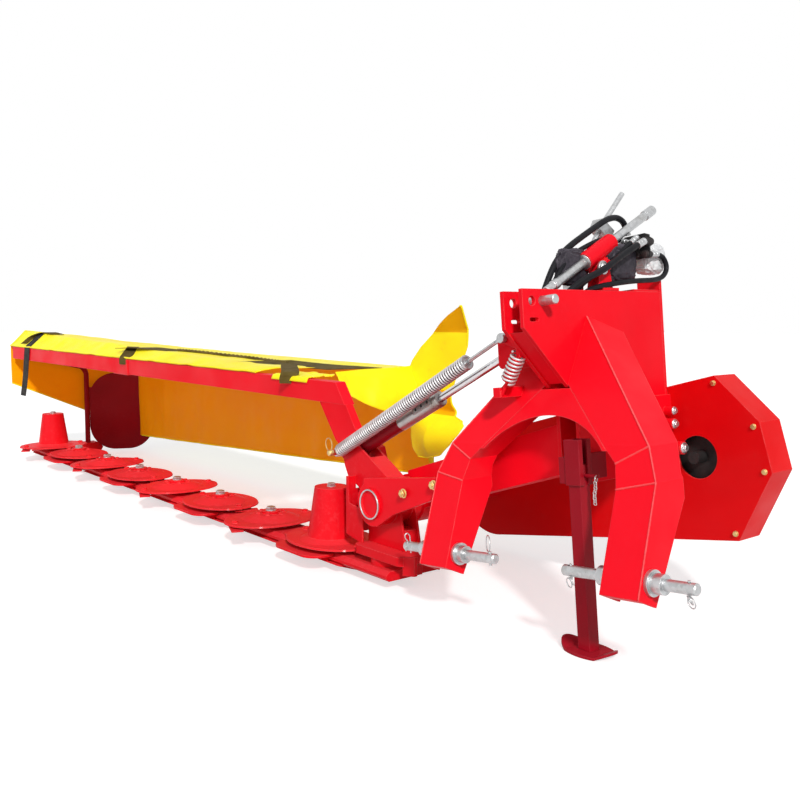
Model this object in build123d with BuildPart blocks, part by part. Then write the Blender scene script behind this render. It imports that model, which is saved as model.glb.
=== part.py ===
"""Rear-mounted disc mower, side cutterbar on a three-point headstock, parked on its stand.

Drawing frame, in millimetres: X = 0 is the middle of the hitch and the cutterbar runs to -X,
Y = 0 is the lower link pins and +Y points away from the tractor, Z = 0 is the ground.
The headstock is drawn level and leaned about the fold pivot when it is kept, because the parked
machine stands on a stand that is longer than the cutterbar is high. At the end everything is
shifted so that the origin is under the middle of the whole machine.
"""
import os
from math import atan2, cos, degrees, hypot, radians, sin, tan

from build123d import *

# ---------------------------------------------------------------- driving dimensions
HEAD_LEAN = 6.0  # how far the parked headstock leans, left side up
PIVOT_X, PIVOT_Z = -708.0, 260.0  # axis about which the cutterbar folds, along Y

DISC_COUNT = 8
DISC_PITCH = 400.0
DISC_X1 = -999.0  # first disc, nearest the pivot
DISC_Y = 89.0  # the line of disc centres

# mast: two upright plates and what closes them
MAST_GAP = 54.0  # room for the top link's ball
MAST_PLATE = 12.0
MAST_FRONT_Y, MAST_REAR_Y = -7.0, 582.0
MAST_TOP_Z = 861.0
MAST_NOSE_Z = 761.0  # foot of the upright front edge
MAST_THROAT_Y, MAST_THROAT_Z = 151.0, 603.0  # where the sloping front edge ends
MAST_HEEL_Y, MAST_HEEL_Z = 330.0, 340.0
MAST_REAR_LOW_Z = 440.0
REAR_PLATE = 10.0
REAR_PLATE_RISE = 44.0
TOP_HOLE_Y, TOP_PIN_Y, TOP_PIN_Z = 28.0, 66.0, 830.0
TOP_PIN_R = 12.7
TOP_PIN_STICK_OUT = 48.0

# hitch arms, front view (X, Z) and side view (Y, Z)
ARM_OUT_X, ARM_IN_X = 374.0, 265.0
ARM_APEX_Z = 791.0
ARM_KNEE_OUT, ARM_ELBOW_OUT = (339.0, 457.0), (374.0, 376.0)
ARM_KNEE_IN, ARM_ELBOW_IN = (251.0, 415.0), (265.0, 356.0)
ARM_ROOT_Z = 610.0
ARM_FRONT = ((241.0, 791.0), (70.0, 457.0), (39.0, 376.0), (-52.0, 122.0))
ARM_REAR = ((14.0, 93.0), (149.0, 328.0), (147.0, 387.0), (340.0, 742.0))
ARM_WALL = 8.0
ARM_MOUTH_DEPTH = 70.0
WEB_PLATE = 12.0
WEB_TOP_Z = 600.0
ARCH_HALF_WIDTH, ARCH_FOOT_Z, ARCH_TOP_Z = 206.0, 444.0, 531.0

# lower link pins, category 2
LINK_PIN_Z = 154.0
LINK_PIN_R = 14.0
LINK_SHOULDER_X = 412.5
LINK_PIN_END_X, LINK_PIN_INNER_X = 495.0, 118.0
LINK_COLLAR_R, LINK_HUB_R = 31.0, 24.0
LINCH_HOLE_R, LINCH_HOLE_INSET = 6.0, 20.0

# main beam from the mast to the pivot
BEAM_Y0, BEAM_Y1 = 200.0, 320.0
BEAM_TOP_PIVOT_Z, BEAM_TOP_MAST_Z = 351.0, 503.0
BEAM_LOW_PIVOT_Z, BEAM_LOW_MAST_Z = 215.0, 363.0
BEAM_END_R = 80.0
PIVOT_PLATE_Y0, PIVOT_PLATE = 40.0, 12.0
PIVOT_PLATE_R, PIVOT_PLATE_TOP = 72.0, 82.0
PIVOT_R = 50.0
PIVOT_WALL = 8.0
PIVOT_FRONT_Y = 32.0
DRIVE_TUBE_R = 44.0

# belt guard
GUARD_Y0, GUARD_DEPTH = 594.0, 107.0
GUARD_WALL = 5.0
GUARD_TAIL_R = 182.0
GUARD_CORNERS = ((193.0, 608.0), (323.0, 475.0), (352.0, 337.0), (243.0, 143.0), (27.0, 129.0))
GUARD_SHOULDER = (23.0, 579.0)
PTO_X, PTO_Z = 127.0, 375.0
PTO_HOLE_R = 62.0
PTO_SHAFT_R = 17.5
PULLEY_R, PULLEY_WIDTH = 140.0, 70.0

# parking stand
STAND_X, STAND_Y = 85.0, 116.0
STAND_LEG, STAND_WALL, STAND_PLAY = 38.0, 5.0, 0.3
STAND_TUBE_TOP_Z, STAND_TUBE_LOW_Z = 468.0, 350.0
STAND_LEG_TOP_Z = 402.0
STAND_PIN_R, STAND_PIN_LENGTH, STAND_PIN_Z = 5.0, 64.0, 374.0
FOOT_LENGTH, FOOT_WIDTH, FOOT_PLATE, FOOT_RISE = 165.0, 104.0, 7.0, 17.0

# lift cylinder and balance spring, from the carrier (low, parked) to the mast (high, parked)
CYL_Y, CYL_LOW, CYL_HIGH = 128.0, (-870.0, 412.0), (-190.0, 762.0)
CYL_BARREL_R, CYL_ROD_R, CYL_BARREL_LENGTH = 23.5, 12.0, 440.0
CYL_EYE_R, CYL_EYE_WIDTH = 24.0, 30.0
CYL_ROD_START, LINK_START = 348.0, 400.0  # inner ends, clear of the eye when run in
SPRING_Y, SPRING_LOW, SPRING_HIGH = 70.0, (-932.0, 398.0), (-169.0, 805.0)
SPRING_R, SPRING_WALL, SPRING_LOWER_LENGTH = 18.5, 3.5, 480.0
SPRING_CORE_R, SPRING_COIL_END, SPRING_LINK_R = 14.7, 714.0, 6.0
PIN_R = 10.0
FIT = 0.3  # running clearance, radius

# carrier between pivot and cutterbar
HUB_R = 72.0
CARRIER_Y0, CARRIER_Y1 = 57.0, 195.0
CHEEK_FRONT_Y, CHEEK_REAR_Y, CHEEK = 94.0, 156.0, 6.0
CHEEK_LOW_Z = 178.0
GEARBOX_X, GEARBOX_R = -678.0, 58.0
BAR_Y0, BAR_Y1, BAR_Z0, BAR_Z1 = 20.0, 170.0, 30.0, 62.0
BAR_END_X, BAR_TIP_X = -606.0, -3960.0

# discs
DISC_LONG, DISC_SHORT = 188.0, 146.0  # half axes of the oval
DISC_Z0, DISC_PLATE = 80.0, 6.0
DISC_DOME_R, DISC_DOME_TOP_R, DISC_DOME = 112.0, 62.0, 18.0
DISC_CAP_R, DISC_CAP = 36.0, 10.0
DISC_NECK_R = 40.0
HAT_R, HAT_TOP_R, HAT_TOP_Z = 84.0, 58.0, 268.0
BLADE_PIVOT_R, BLADE_REACH, BLADE_WIDTH, BLADE, BLADE_SWING = 156.0, 76.0, 44.0, 4.0, 68.0
BLADE_TOP_Z, BLADE_BOSS_R = 72.0, 15.0

# canopy
TUBE_Y0, TUBE_Y1, TUBE_Z0, TUBE_Z1 = -85.0, -47.0, 589.0, 656.0
TUBE_TIP_X, TUBE_END_X, TUBE_MITRE = -3925.0, -731.0, 50.0
CANVAS = 6.0
CANVAS_REAR_Y, CANVAS_REAR_Z = 620.0, 652.0
CANVAS_TIP_X, CANVAS_INNER_X = -3958.0, -1210.0
CANVAS_CROWN = ((0.0, 746.0), (60.0, 739.0), (290.0, 712.0), (505.0, 678.0))  # at the outer end
SEAM = 0.3
CANVAS_REAR_TIP_X, CANVAS_REAR_END_X = -3795.0, -1060.0
CANVAS_HEM_TIP_Z, CANVAS_HEM_END_Z = 99.0, 241.0

# ---------------------------------------------------------------- small helpers
kept = {}


def across(y):
    """Plane of a front view at this Y: sketch x is X, sketch y is Z, extrude(-t) goes to +Y."""
    return Plane.XZ.offset(-y)


def along(x):
    """Plane of a side view at this X: sketch x is Y, sketch y is Z, extrude goes to +X."""
    return Plane.YZ.offset(x)


def lean(x, z):
    """Where a point of the level headstock stands when the machine is parked."""
    a = radians(HEAD_LEAN)
    dx, dz = x - PIVOT_X, z - PIVOT_Z
    return (PIVOT_X + dx * cos(a) - dz * sin(a), PIVOT_Z + dx * sin(a) + dz * cos(a))


LEAN = Location((PIVOT_X, 0, PIVOT_Z)) * Rotation(0, -HEAD_LEAN, 0) * Location((-PIVOT_X, 0, -PIVOT_Z))


def keep(name, part, on_headstock=False):
    """Remember a finished piece under its node's name, leaned if it belongs to the headstock."""
    kept[name] = LEAN * part if on_headstock else part


# ---------------------------------------------------------------- mast
mast_out_x = MAST_GAP / 2 + MAST_PLATE
mast_outline = (
    (MAST_FRONT_Y, MAST_TOP_Z), (MAST_REAR_Y, MAST_TOP_Z), (MAST_REAR_Y, MAST_REAR_LOW_Z),
    (MAST_HEEL_Y, MAST_HEEL_Z), (MAST_THROAT_Y + 34, MAST_HEEL_Z), (MAST_THROAT_Y + 34, MAST_THROAT_Z),
    (MAST_THROAT_Y, MAST_THROAT_Z), (MAST_FRONT_Y, MAST_NOSE_Z),
)
for name, x in (("mast_plate_left", MAST_GAP / 2), ("mast_plate_right", -mast_out_x)):
    with BuildPart() as mast_plate:
        with BuildSketch(along(x)):
            Polygon(*mast_outline, align=None)
            with Locations((TOP_HOLE_Y, TOP_PIN_Z)):
                Circle(TOP_PIN_R, mode=Mode.SUBTRACT)
            with Locations((TOP_PIN_Y, TOP_PIN_Z)):
                Circle(TOP_PIN_R + FIT, mode=Mode.SUBTRACT)
            with Locations((TOP_HOLE_Y + 6, TOP_PIN_Z - 48)):
                SlotOverall(34, 10, mode=Mode.SUBTRACT)
        extrude(amount=MAST_PLATE)
    keep(name, mast_plate.part, True)

with BuildPart() as mast_front_plate:
    with BuildSketch(along(-MAST_GAP / 2 + FIT)):
        Polygon((MAST_FRONT_Y + 16, MAST_NOSE_Z - 9), (MAST_THROAT_Y - 1, MAST_THROAT_Z + 10),
                (MAST_THROAT_Y + 10, MAST_THROAT_Z + 10), (MAST_FRONT_Y + 27, MAST_NOSE_Z - 9), align=None)
    extrude(amount=MAST_GAP - 2 * FIT)
keep("mast_front_plate", mast_front_plate.part, True)

with BuildPart() as mast_rear_plate:
    with BuildSketch(across(MAST_REAR_Y + FIT)):
        with Locations((0, (MAST_TOP_Z + REAR_PLATE_RISE + MAST_REAR_LOW_Z) / 2)):
            Rectangle(2 * mast_out_x, MAST_TOP_Z + REAR_PLATE_RISE - MAST_REAR_LOW_Z)
    extrude(amount=-REAR_PLATE)
keep("mast_rear_plate", mast_rear_plate.part, True)

with BuildPart() as top_link_pin:
    with BuildSketch(along(-mast_out_x - 12)):
        with Locations((TOP_PIN_Y, TOP_PIN_Z)):
            Circle(TOP_PIN_R)
    extrude(amount=2 * mast_out_x + 12 + TOP_PIN_STICK_OUT)
    chamfer(top_link_pin.edges().filter_by(GeomType.CIRCLE), 2)
keep("top_link_pin", top_link_pin.part, True)

# ---------------------------------------------------------------- hitch arms and web
arm_root_x = mast_out_x + FIT
arm_front_view = (
    (arm_root_x, ARM_APEX_Z), ARM_KNEE_OUT, ARM_ELBOW_OUT, (ARM_OUT_X, 60),
    (ARM_IN_X, 60), ARM_ELBOW_IN, ARM_KNEE_IN, (arm_root_x, ARM_ROOT_Z),
)
for name, side in (("hitch_arm_left", 1), ("hitch_arm_right", -1)):
    with BuildPart() as hitch_arm:
        with BuildSketch(across(-100)):
            Polygon(*[(side * x, z) for x, z in arm_front_view], align=None)
        extrude(amount=-520)
        with BuildSketch(along(-500)):
            Polygon(*ARM_FRONT, *ARM_REAR, align=None)
        extrude(amount=1000, mode=Mode.INTERSECT)
        # the square bar is hollow, and open at its lower end
        with BuildSketch(Plane.XY.offset(LINK_PIN_Z + 40)):
            with Locations((side * (ARM_OUT_X + ARM_IN_X) / 2, 0)):
                Rectangle(ARM_OUT_X - ARM_IN_X - 2 * ARM_WALL, 44)
        extrude(amount=-200, mode=Mode.SUBTRACT)
        with BuildSketch(along(-500)):
            with Locations((0, LINK_PIN_Z)):
                Circle(LINK_PIN_R + FIT)
        extrude(amount=1000, mode=Mode.SUBTRACT)
    keep(name, hitch_arm.part, True)

web_slope = (ARM_FRONT[0][0] - ARM_FRONT[1][0]) / (ARM_FRONT[0][1] - ARM_FRONT[1][1])
web_line = lambda z: ARM_FRONT[1][0] + web_slope * (z - ARM_FRONT[1][1])
in_slope = (ARM_KNEE_IN[0] - arm_root_x) / (ARM_ROOT_Z - ARM_KNEE_IN[1])
web_top_x = arm_root_x + in_slope * (ARM_ROOT_Z - WEB_TOP_Z) - FIT
web_foot_x = arm_root_x + in_slope * (ARM_ROOT_Z - ARCH_FOOT_Z) - FIT
with BuildPart() as hitch_web:
    with BuildSketch(across(0)):
        with BuildLine():
            Polyline((ARCH_HALF_WIDTH, ARCH_FOOT_Z), (web_foot_x, ARCH_FOOT_Z), (web_top_x, WEB_TOP_Z),
                     (-web_top_x, WEB_TOP_Z), (-web_foot_x, ARCH_FOOT_Z), (-ARCH_HALF_WIDTH, ARCH_FOOT_Z))
            ThreePointArc((-ARCH_HALF_WIDTH, ARCH_FOOT_Z), (0, ARCH_TOP_Z), (ARCH_HALF_WIDTH, ARCH_FOOT_Z))
        make_face()
    extrude(amount=-400)
    with BuildSketch(along(-400)):
        Polygon((web_line(ARCH_FOOT_Z - 20), ARCH_FOOT_Z - 20), (web_line(WEB_TOP_Z + 20), WEB_TOP_Z + 20),
                (web_line(WEB_TOP_Z + 20) + WEB_PLATE, WEB_TOP_Z + 20),
                (web_line(ARCH_FOOT_Z - 20) + WEB_PLATE, ARCH_FOOT_Z - 20), align=None)
    extrude(amount=800, mode=Mode.INTERSECT)
keep("hitch_web", hitch_web.part, True)

# ---------------------------------------------------------------- lower link pins
for name, side in (("lower_link_pin_left", 1), ("lower_link_pin_right", -1)):
    with BuildPart() as link_pin:
        # outline beside the pin's axis: distance along X, radius
        with BuildSketch(Plane.XY.offset(LINK_PIN_Z)):
            Polygon(*[(side * x, r) for x, r in (
                (LINK_PIN_INNER_X, 0), (LINK_PIN_INNER_X, LINK_PIN_R - 3), (LINK_PIN_INNER_X + 3, LINK_PIN_R),
                (ARM_IN_X - 32, LINK_PIN_R), (ARM_IN_X - 32, LINK_HUB_R), (ARM_IN_X - 10, LINK_HUB_R),
                (ARM_IN_X - 10, LINK_COLLAR_R), (ARM_IN_X - FIT, LINK_COLLAR_R), (ARM_IN_X - FIT, LINK_PIN_R),
                (ARM_OUT_X + FIT, LINK_PIN_R), (ARM_OUT_X + FIT, LINK_COLLAR_R),
                (ARM_OUT_X + 10, LINK_COLLAR_R), (ARM_OUT_X + 10, LINK_HUB_R),
                (LINK_SHOULDER_X, LINK_HUB_R), (LINK_SHOULDER_X, LINK_PIN_R),
                (LINK_PIN_END_X - 3, LINK_PIN_R), (LINK_PIN_END_X, LINK_PIN_R - 3), (LINK_PIN_END_X, 0))],
                align=None)
        revolve(axis=Axis((0, 0, LINK_PIN_Z), (1, 0, 0)))
        with BuildSketch(Plane.XY.offset(LINK_PIN_Z - 40)):
            with Locations((side * (LINK_PIN_END_X - LINCH_HOLE_INSET), 0),
                           (side * (LINK_PIN_INNER_X + LINCH_HOLE_INSET), 0)):
                Circle(LINCH_HOLE_R)
        extrude(amount=80, mode=Mode.SUBTRACT)
    keep(name, link_pin.part, True)

# ---------------------------------------------------------------- main beam and fold pivot
beam_end_x = -mast_out_x - FIT
with BuildPart() as main_beam:
    with BuildSketch(across(BEAM_Y0)):
        Polygon((PIVOT_X, BEAM_TOP_PIVOT_Z), (beam_end_x, BEAM_TOP_MAST_Z), (beam_end_x, BEAM_LOW_MAST_Z),
                (PIVOT_X, BEAM_LOW_PIVOT_Z), align=None)
        with Locations((PIVOT_X, PIVOT_Z)):
            Circle(BEAM_END_R)
            Circle(PIVOT_R + FIT, mode=Mode.SUBTRACT)
    extrude(amount=BEAM_Y0 - BEAM_Y1)
keep("main_beam", main_beam.part, True)

pivot_plate_end_x = -ARM_OUT_X - FIT
with BuildPart() as pivot_plate:
    with BuildSketch(across(PIVOT_PLATE_Y0)):
        Polygon((PIVOT_X - 30, PIVOT_Z + PIVOT_PLATE_TOP), (pivot_plate_end_x, 358), (pivot_plate_end_x, 300),
                (-603, 232), (PIVOT_X + 20, PIVOT_Z - PIVOT_PLATE_R), (PIVOT_X - 60, PIVOT_Z - 40), align=None)
        with Locations((PIVOT_X, PIVOT_Z)):
            Circle(PIVOT_PLATE_R)
            Circle(PIVOT_R + FIT, mode=Mode.SUBTRACT)
    extrude(amount=-PIVOT_PLATE)
keep("pivot_plate", pivot_plate.part, True)

with BuildPart() as pivot_pin:
    with BuildSketch(across(PIVOT_FRONT_Y)):
        with Locations((PIVOT_X, PIVOT_Z)):
            Circle(PIVOT_R)
    extrude(amount=PIVOT_FRONT_Y - BEAM_Y1)
    with BuildSketch(across(PIVOT_FRONT_Y)):
        with Locations((PIVOT_X, PIVOT_Z)):
            Circle(PIVOT_R - PIVOT_WALL)
    extrude(amount=-5, mode=Mode.SUBTRACT)
keep("pivot_pin", pivot_pin.part, True)

with BuildPart() as drive_tube:
    with BuildSketch(across(BEAM_Y1 + FIT)):
        with Locations((PIVOT_X, PIVOT_Z)):
            Circle(DRIVE_TUBE_R)
    extrude(amount=BEAM_Y1 + 2 * FIT - GUARD_Y0)
keep("drive_tube", drive_tube.part, True)

# ---------------------------------------------------------------- belt guard and input shaft
with BuildPart() as belt_guard:
    with BuildSketch(across(GUARD_Y0)) as guard_outline:
        Polygon(*GUARD_CORNERS, (PIVOT_X, PIVOT_Z - GUARD_TAIL_R), (PIVOT_X, PIVOT_Z + GUARD_TAIL_R),
                GUARD_SHOULDER, align=None)
        with Locations((PIVOT_X, PIVOT_Z)):
            Circle(GUARD_TAIL_R)
    extrude(amount=-GUARD_DEPTH)
    # sheet metal box: the room for the pulleys and belts, and the opening for the driveshaft
    with BuildSketch(across(GUARD_Y0 + GUARD_WALL)):
        Polygon(*GUARD_CORNERS, (PIVOT_X, PIVOT_Z - GUARD_TAIL_R), (PIVOT_X, PIVOT_Z + GUARD_TAIL_R),
                GUARD_SHOULDER, align=None)
        with Locations((PIVOT_X, PIVOT_Z)):
            Circle(GUARD_TAIL_R)
        offset(amount=-GUARD_WALL)
    extrude(amount=-(GUARD_DEPTH - 2 * GUARD_WALL), mode=Mode.SUBTRACT)
    with BuildSketch(across(GUARD_Y0)):
        with Locations((PTO_X, PTO_Z)):
            Circle(PTO_HOLE_R)
    extrude(amount=-GUARD_WALL, mode=Mode.SUBTRACT)
keep("belt_guard", belt_guard.part, True)

with BuildPart() as input_shaft:
    with BuildSketch(across(GUARD_Y0 - 22)):
        with Locations((PTO_X, PTO_Z)):
            Circle(PTO_SHAFT_R)
    extrude(amount=-(22 + GUARD_DEPTH - GUARD_WALL - FIT))
    with BuildSketch(across(GUARD_Y0 + GUARD_DEPTH - GUARD_WALL - 6 - PULLEY_WIDTH)):
        with Locations((PTO_X, PTO_Z)):
            Circle(PULLEY_R)
    extrude(amount=-PULLEY_WIDTH)
keep("input_shaft", input_shaft.part, True)

# ---------------------------------------------------------------- parking stand
stand_in = STAND_LEG + 2 * STAND_PLAY
stand_out = stand_in + 2 * STAND_WALL
with BuildPart() as stand_socket:
    with BuildSketch(Plane.XY.offset(STAND_TUBE_LOW_Z)):
        with Locations((STAND_X, STAND_Y)):
            Rectangle(stand_out, stand_out)
            Rectangle(stand_in, stand_in, mode=Mode.SUBTRACT)
        # open towards the leg's pin
        with Locations((STAND_X + stand_in / 2, STAND_Y)):
            Rectangle(stand_in, 18, mode=Mode.SUBTRACT)
    extrude(amount=STAND_TUBE_TOP_Z - STAND_TUBE_LOW_Z)
    with BuildSketch(Plane.XY.offset(STAND_TUBE_LOW_Z + 4)):
        with Locations(((mast_out_x + FIT + STAND_X - stand_out / 2) / 2, STAND_Y + 62)):
            Rectangle(STAND_X - stand_out / 2 - mast_out_x - FIT, 168)
    extrude(amount=68)
keep("stand_socket", stand_socket.part, True)

with BuildPart() as stand_leg:
    with BuildSketch(Plane.XY.offset(STAND_LEG_TOP_Z)):
        with Locations((STAND_X, STAND_Y)):
            Rectangle(STAND_LEG, STAND_LEG)
    extrude(amount=-(STAND_LEG_TOP_Z + 90))
    with BuildSketch(along(STAND_X)):
        with Locations((STAND_Y, STAND_PIN_Z)):
            Circle(STAND_PIN_R)
    extrude(amount=STAND_PIN_LENGTH)
leg_foot_x, leg_foot_z = lean(STAND_X, -84)
ground_cut = Pos(leg_foot_x, STAND_Y, FOOT_PLATE + SEAM - 100) * Box(400, 400, 200)
keep("stand_leg", LEAN * stand_leg.part - ground_cut)

# the foot is a plate with both ends turned up, rounded in plan
with BuildPart() as stand_foot:
    with BuildSketch(across(STAND_Y - FOOT_WIDTH)):
        Polygon((leg_foot_x - FOOT_LENGTH / 2, FOOT_RISE), (leg_foot_x - 48, 0), (leg_foot_x + 48, 0),
                (leg_foot_x + FOOT_LENGTH / 2, FOOT_RISE), (leg_foot_x + FOOT_LENGTH / 2, FOOT_RISE + FOOT_PLATE),
                (leg_foot_x + 46, FOOT_PLATE), (leg_foot_x - 46, FOOT_PLATE),
                (leg_foot_x - FOOT_LENGTH / 2, FOOT_RISE + FOOT_PLATE), align=None)
    extrude(amount=-2 * FOOT_WIDTH)
    with BuildSketch(Plane.XY.offset(-10)):
        with Locations((leg_foot_x, STAND_Y)):
            Ellipse(FOOT_LENGTH / 2, FOOT_WIDTH / 2)
    extrude(amount=80, mode=Mode.INTERSECT)
keep("stand_foot", stand_foot.part)

# ---------------------------------------------------------------- lift cylinder and balance spring


def axis_plane(low, high, y):
    """Plane at the low end of a strut, its normal pointing to the high end."""
    return Plane(origin=(low[0], y, low[1]), x_dir=(0, 1, 0), z_dir=(high[0] - low[0], 0, high[1] - low[1]))


cyl_axis = axis_plane(CYL_LOW, CYL_HIGH, CYL_Y)
cyl_length = hypot(CYL_HIGH[0] - CYL_LOW[0], CYL_HIGH[1] - CYL_LOW[1])
cyl_bore_r = CYL_ROD_R + FIT
with BuildPart() as cylinder_barrel:
    with BuildSketch(across(CYL_Y + CYL_EYE_WIDTH / 2)):
        with Locations(CYL_LOW):
            Circle(CYL_EYE_R)
    extrude(amount=CYL_EYE_WIDTH)
    with BuildSketch(cyl_axis.offset(CYL_EYE_R - 4)):
        Circle(CYL_BARREL_R)
    extrude(amount=CYL_BARREL_LENGTH - CYL_EYE_R + 4)
    with BuildSketch(cyl_axis.offset(CYL_EYE_R + 20)):
        Circle(cyl_bore_r)
    extrude(amount=CYL_BARREL_LENGTH, mode=Mode.SUBTRACT)
    with BuildSketch(across(CYL_Y + CYL_EYE_WIDTH)):
        with Locations(CYL_LOW):
            Circle(PIN_R + FIT)
    extrude(amount=2 * CYL_EYE_WIDTH, mode=Mode.SUBTRACT)
keep("cylinder_barrel", cylinder_barrel.part)

with BuildPart() as cylinder_rod:
    with BuildSketch(cyl_axis.offset(CYL_ROD_START)):
        Circle(CYL_ROD_R)
    extrude(amount=cyl_length - CYL_ROD_START)
    with BuildSketch(across(CYL_Y + CYL_EYE_WIDTH / 2)):
        with Locations(CYL_HIGH):
            Circle(CYL_EYE_R)
    extrude(amount=CYL_EYE_WIDTH)
keep("cylinder_rod", cylinder_rod.part)

spring_axis = axis_plane(SPRING_LOW, SPRING_HIGH, SPRING_Y)
spring_length = hypot(SPRING_HIGH[0] - SPRING_LOW[0], SPRING_HIGH[1] - SPRING_LOW[1])
with BuildPart() as balance_spring:
    with BuildSketch(spring_axis.offset(-4)):
        Circle(SPRING_R)
    extrude(amount=SPRING_LOWER_LENGTH)
    with BuildSketch(spring_axis.offset(30)):
        Circle(SPRING_R - SPRING_WALL)
    extrude(amount=SPRING_LOWER_LENGTH, mode=Mode.SUBTRACT)
    with BuildSketch(across(SPRING_Y + 40)):
        with Locations(SPRING_LOW):
            Circle(PIN_R + FIT)
    extrude(amount=80, mode=Mode.SUBTRACT)
keep("balance_spring", balance_spring.part)

with BuildPart() as spring_link:
    with BuildSketch(spring_axis.offset(LINK_START)):
        Circle(SPRING_CORE_R)
    extrude(amount=SPRING_COIL_END - LINK_START)
    with BuildSketch(spring_axis.offset(SPRING_COIL_END)):
        Circle(SPRING_LINK_R)
    extrude(amount=spring_length - SPRING_COIL_END)
keep("spring_link", spring_link.part)

# ears on the mast between which the upper eyes work
cyl_ear = (CYL_EYE_WIDTH / 2 + 2, 8)
CYL_EAR_LENGTH, CYL_EAR_HEIGHT, CYL_EAR_Z = 126.0, 84.0, 704.0
with BuildPart() as cylinder_ears:
    for y in (CYL_Y - cyl_ear[0] - cyl_ear[1], CYL_Y + cyl_ear[0]):
        with BuildSketch(across(y)):
            with Locations((-mast_out_x - FIT - CYL_EAR_LENGTH / 2, CYL_EAR_Z)):
                RectangleRounded(CYL_EAR_LENGTH, CYL_EAR_HEIGHT, 14)
        extrude(amount=-cyl_ear[1])
keep("cylinder_ears", cylinder_ears.part, True)

# lug for the balance spring's link
with BuildPart() as spring_lug:
    with BuildSketch(across(SPRING_Y + SPRING_LINK_R + 3)):
        Polygon((-mast_out_x - FIT, 772), (-108, 760), (-132, 748), (-132, 736), (-mast_out_x - FIT, 700), align=None)
    extrude(amount=-8)
keep("spring_lug", spring_lug.part, True)

# ---------------------------------------------------------------- carrier
FLANGE_Z0, FLANGE_Z1 = 86.0, 115.0
with BuildPart() as carrier:
    with BuildSketch(across(CARRIER_Y0)):
        with Locations((PIVOT_X, PIVOT_Z)):
            Circle(HUB_R)
    extrude(amount=CARRIER_Y0 - CARRIER_Y1)
    for y in (CHEEK_FRONT_Y, CHEEK_REAR_Y):
        with BuildSketch(across(y)):
            Polygon((-790, FLANGE_Z1 + SEAM), (-600, FLANGE_Z1 + SEAM), (-640, 300), (-700, 345), (-850, 429),
                    (-870, 436), (-932, 372), (-925, 350), (-907, 318), (-850, 290), (-796, 230), align=None)
            with Locations(CYL_LOW):
                Circle(26)
        extrude(amount=-CHEEK)
    # ear of the balance spring, on the front cheek
    with BuildSketch(across(CHEEK_FRONT_Y)):
        Polygon((-880, 436), (-880, 385), (-932, 372), (-952, 386), (-952, 410), (-932, 420), align=None)
    extrude(amount=-CHEEK)
    with BuildSketch(across(CHEEK_FRONT_Y)):
        with Locations(SPRING_LOW):
            Circle(PIN_R)
    extrude(amount=42)
    with BuildSketch(across(CHEEK_FRONT_Y + CHEEK)):
        with Locations(CYL_LOW):
            Circle(PIN_R)
    extrude(amount=-(CHEEK_REAR_Y - CHEEK_FRONT_Y - CHEEK))
    # sloping cover between the cheeks
    with BuildSketch(across(CHEEK_FRONT_Y + CHEEK)):
        Polygon((-790, 395), (-700, 345), (-640, 300), (-644, 291), (-706, 336), (-795, 386), align=None)
    extrude(amount=-(CHEEK_REAR_Y - CHEEK_FRONT_Y - CHEEK))
    with BuildSketch(across(CARRIER_Y0)):
        with Locations((PIVOT_X, PIVOT_Z)):
            Circle(PIVOT_R + FIT)
    extrude(amount=CARRIER_Y0 - CARRIER_Y1, mode=Mode.SUBTRACT)
keep("carrier", carrier.part)

# upright bracket on the flange: one plate along the machine, one across it
BRACKET_X0, BRACKET_X1, BRACKET_Y, BRACKET_PLATE = -872.0, -782.0, 60.0, 6.0
with BuildPart() as carrier_bracket:
    with BuildSketch(across(BRACKET_Y)):
        Polygon((BRACKET_X0, 130), (BRACKET_X0, 325), (BRACKET_X0 + 10, 325), (BRACKET_X0 + 16, 236),
                (BRACKET_X1, 225), (BRACKET_X1, FLANGE_Z1 + SEAM), (-800, FLANGE_Z1 + SEAM), align=None)
    extrude(amount=-BRACKET_PLATE)
    with BuildSketch(across(BRACKET_Y)):
        Polygon((BRACKET_X0, 130), (BRACKET_X0, 325), (BRACKET_X0 + 10, 325), (BRACKET_X0 + 10, 130), align=None)
    extrude(amount=-(CHEEK_FRONT_Y - SEAM - BRACKET_Y))
    with BuildSketch(across(BRACKET_Y)):
        Polygon((BRACKET_X0, 130), (BRACKET_X0, 280), (BRACKET_X0 + 10, 280), (BRACKET_X0 + 10, 130), align=None)
    extrude(amount=-(CARRIER_Y1 - BRACKET_Y))
keep("carrier_bracket", carrier_bracket.part)

with BuildPart() as gearbox:
    with BuildSketch(Plane.XY.offset(FLANGE_Z0)):
        with Locations((-677, 101)):
            RectangleRounded(246, 132, 24)
    extrude(amount=FLANGE_Z1 - FLANGE_Z0)
    with BuildSketch(Plane.XY.offset(BAR_Z1 + SEAM)):
        with Locations((-690, 95)):
            Circle(56)
    extrude(amount=FLANGE_Z0 - BAR_Z1 - SEAM)
    with BuildSketch(Plane.XY.offset(FLANGE_Z1)):
        with Locations((GEARBOX_X, (CHEEK_FRONT_Y + CHEEK + CHEEK_REAR_Y) / 2)):
            Rectangle(2 * GEARBOX_R, CHEEK_REAR_Y - CHEEK_FRONT_Y - CHEEK - 2 * SEAM)
    extrude(amount=CHEEK_LOW_Z - FLANGE_Z1)
    with BuildSketch(across(50)):
        Polygon((-562, FLANGE_Z1), (-505, FLANGE_Z1 + 12), (-505, 66), (-562, 56), align=None)
    extrude(amount=-12)
keep("gearbox", gearbox.part)

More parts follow.
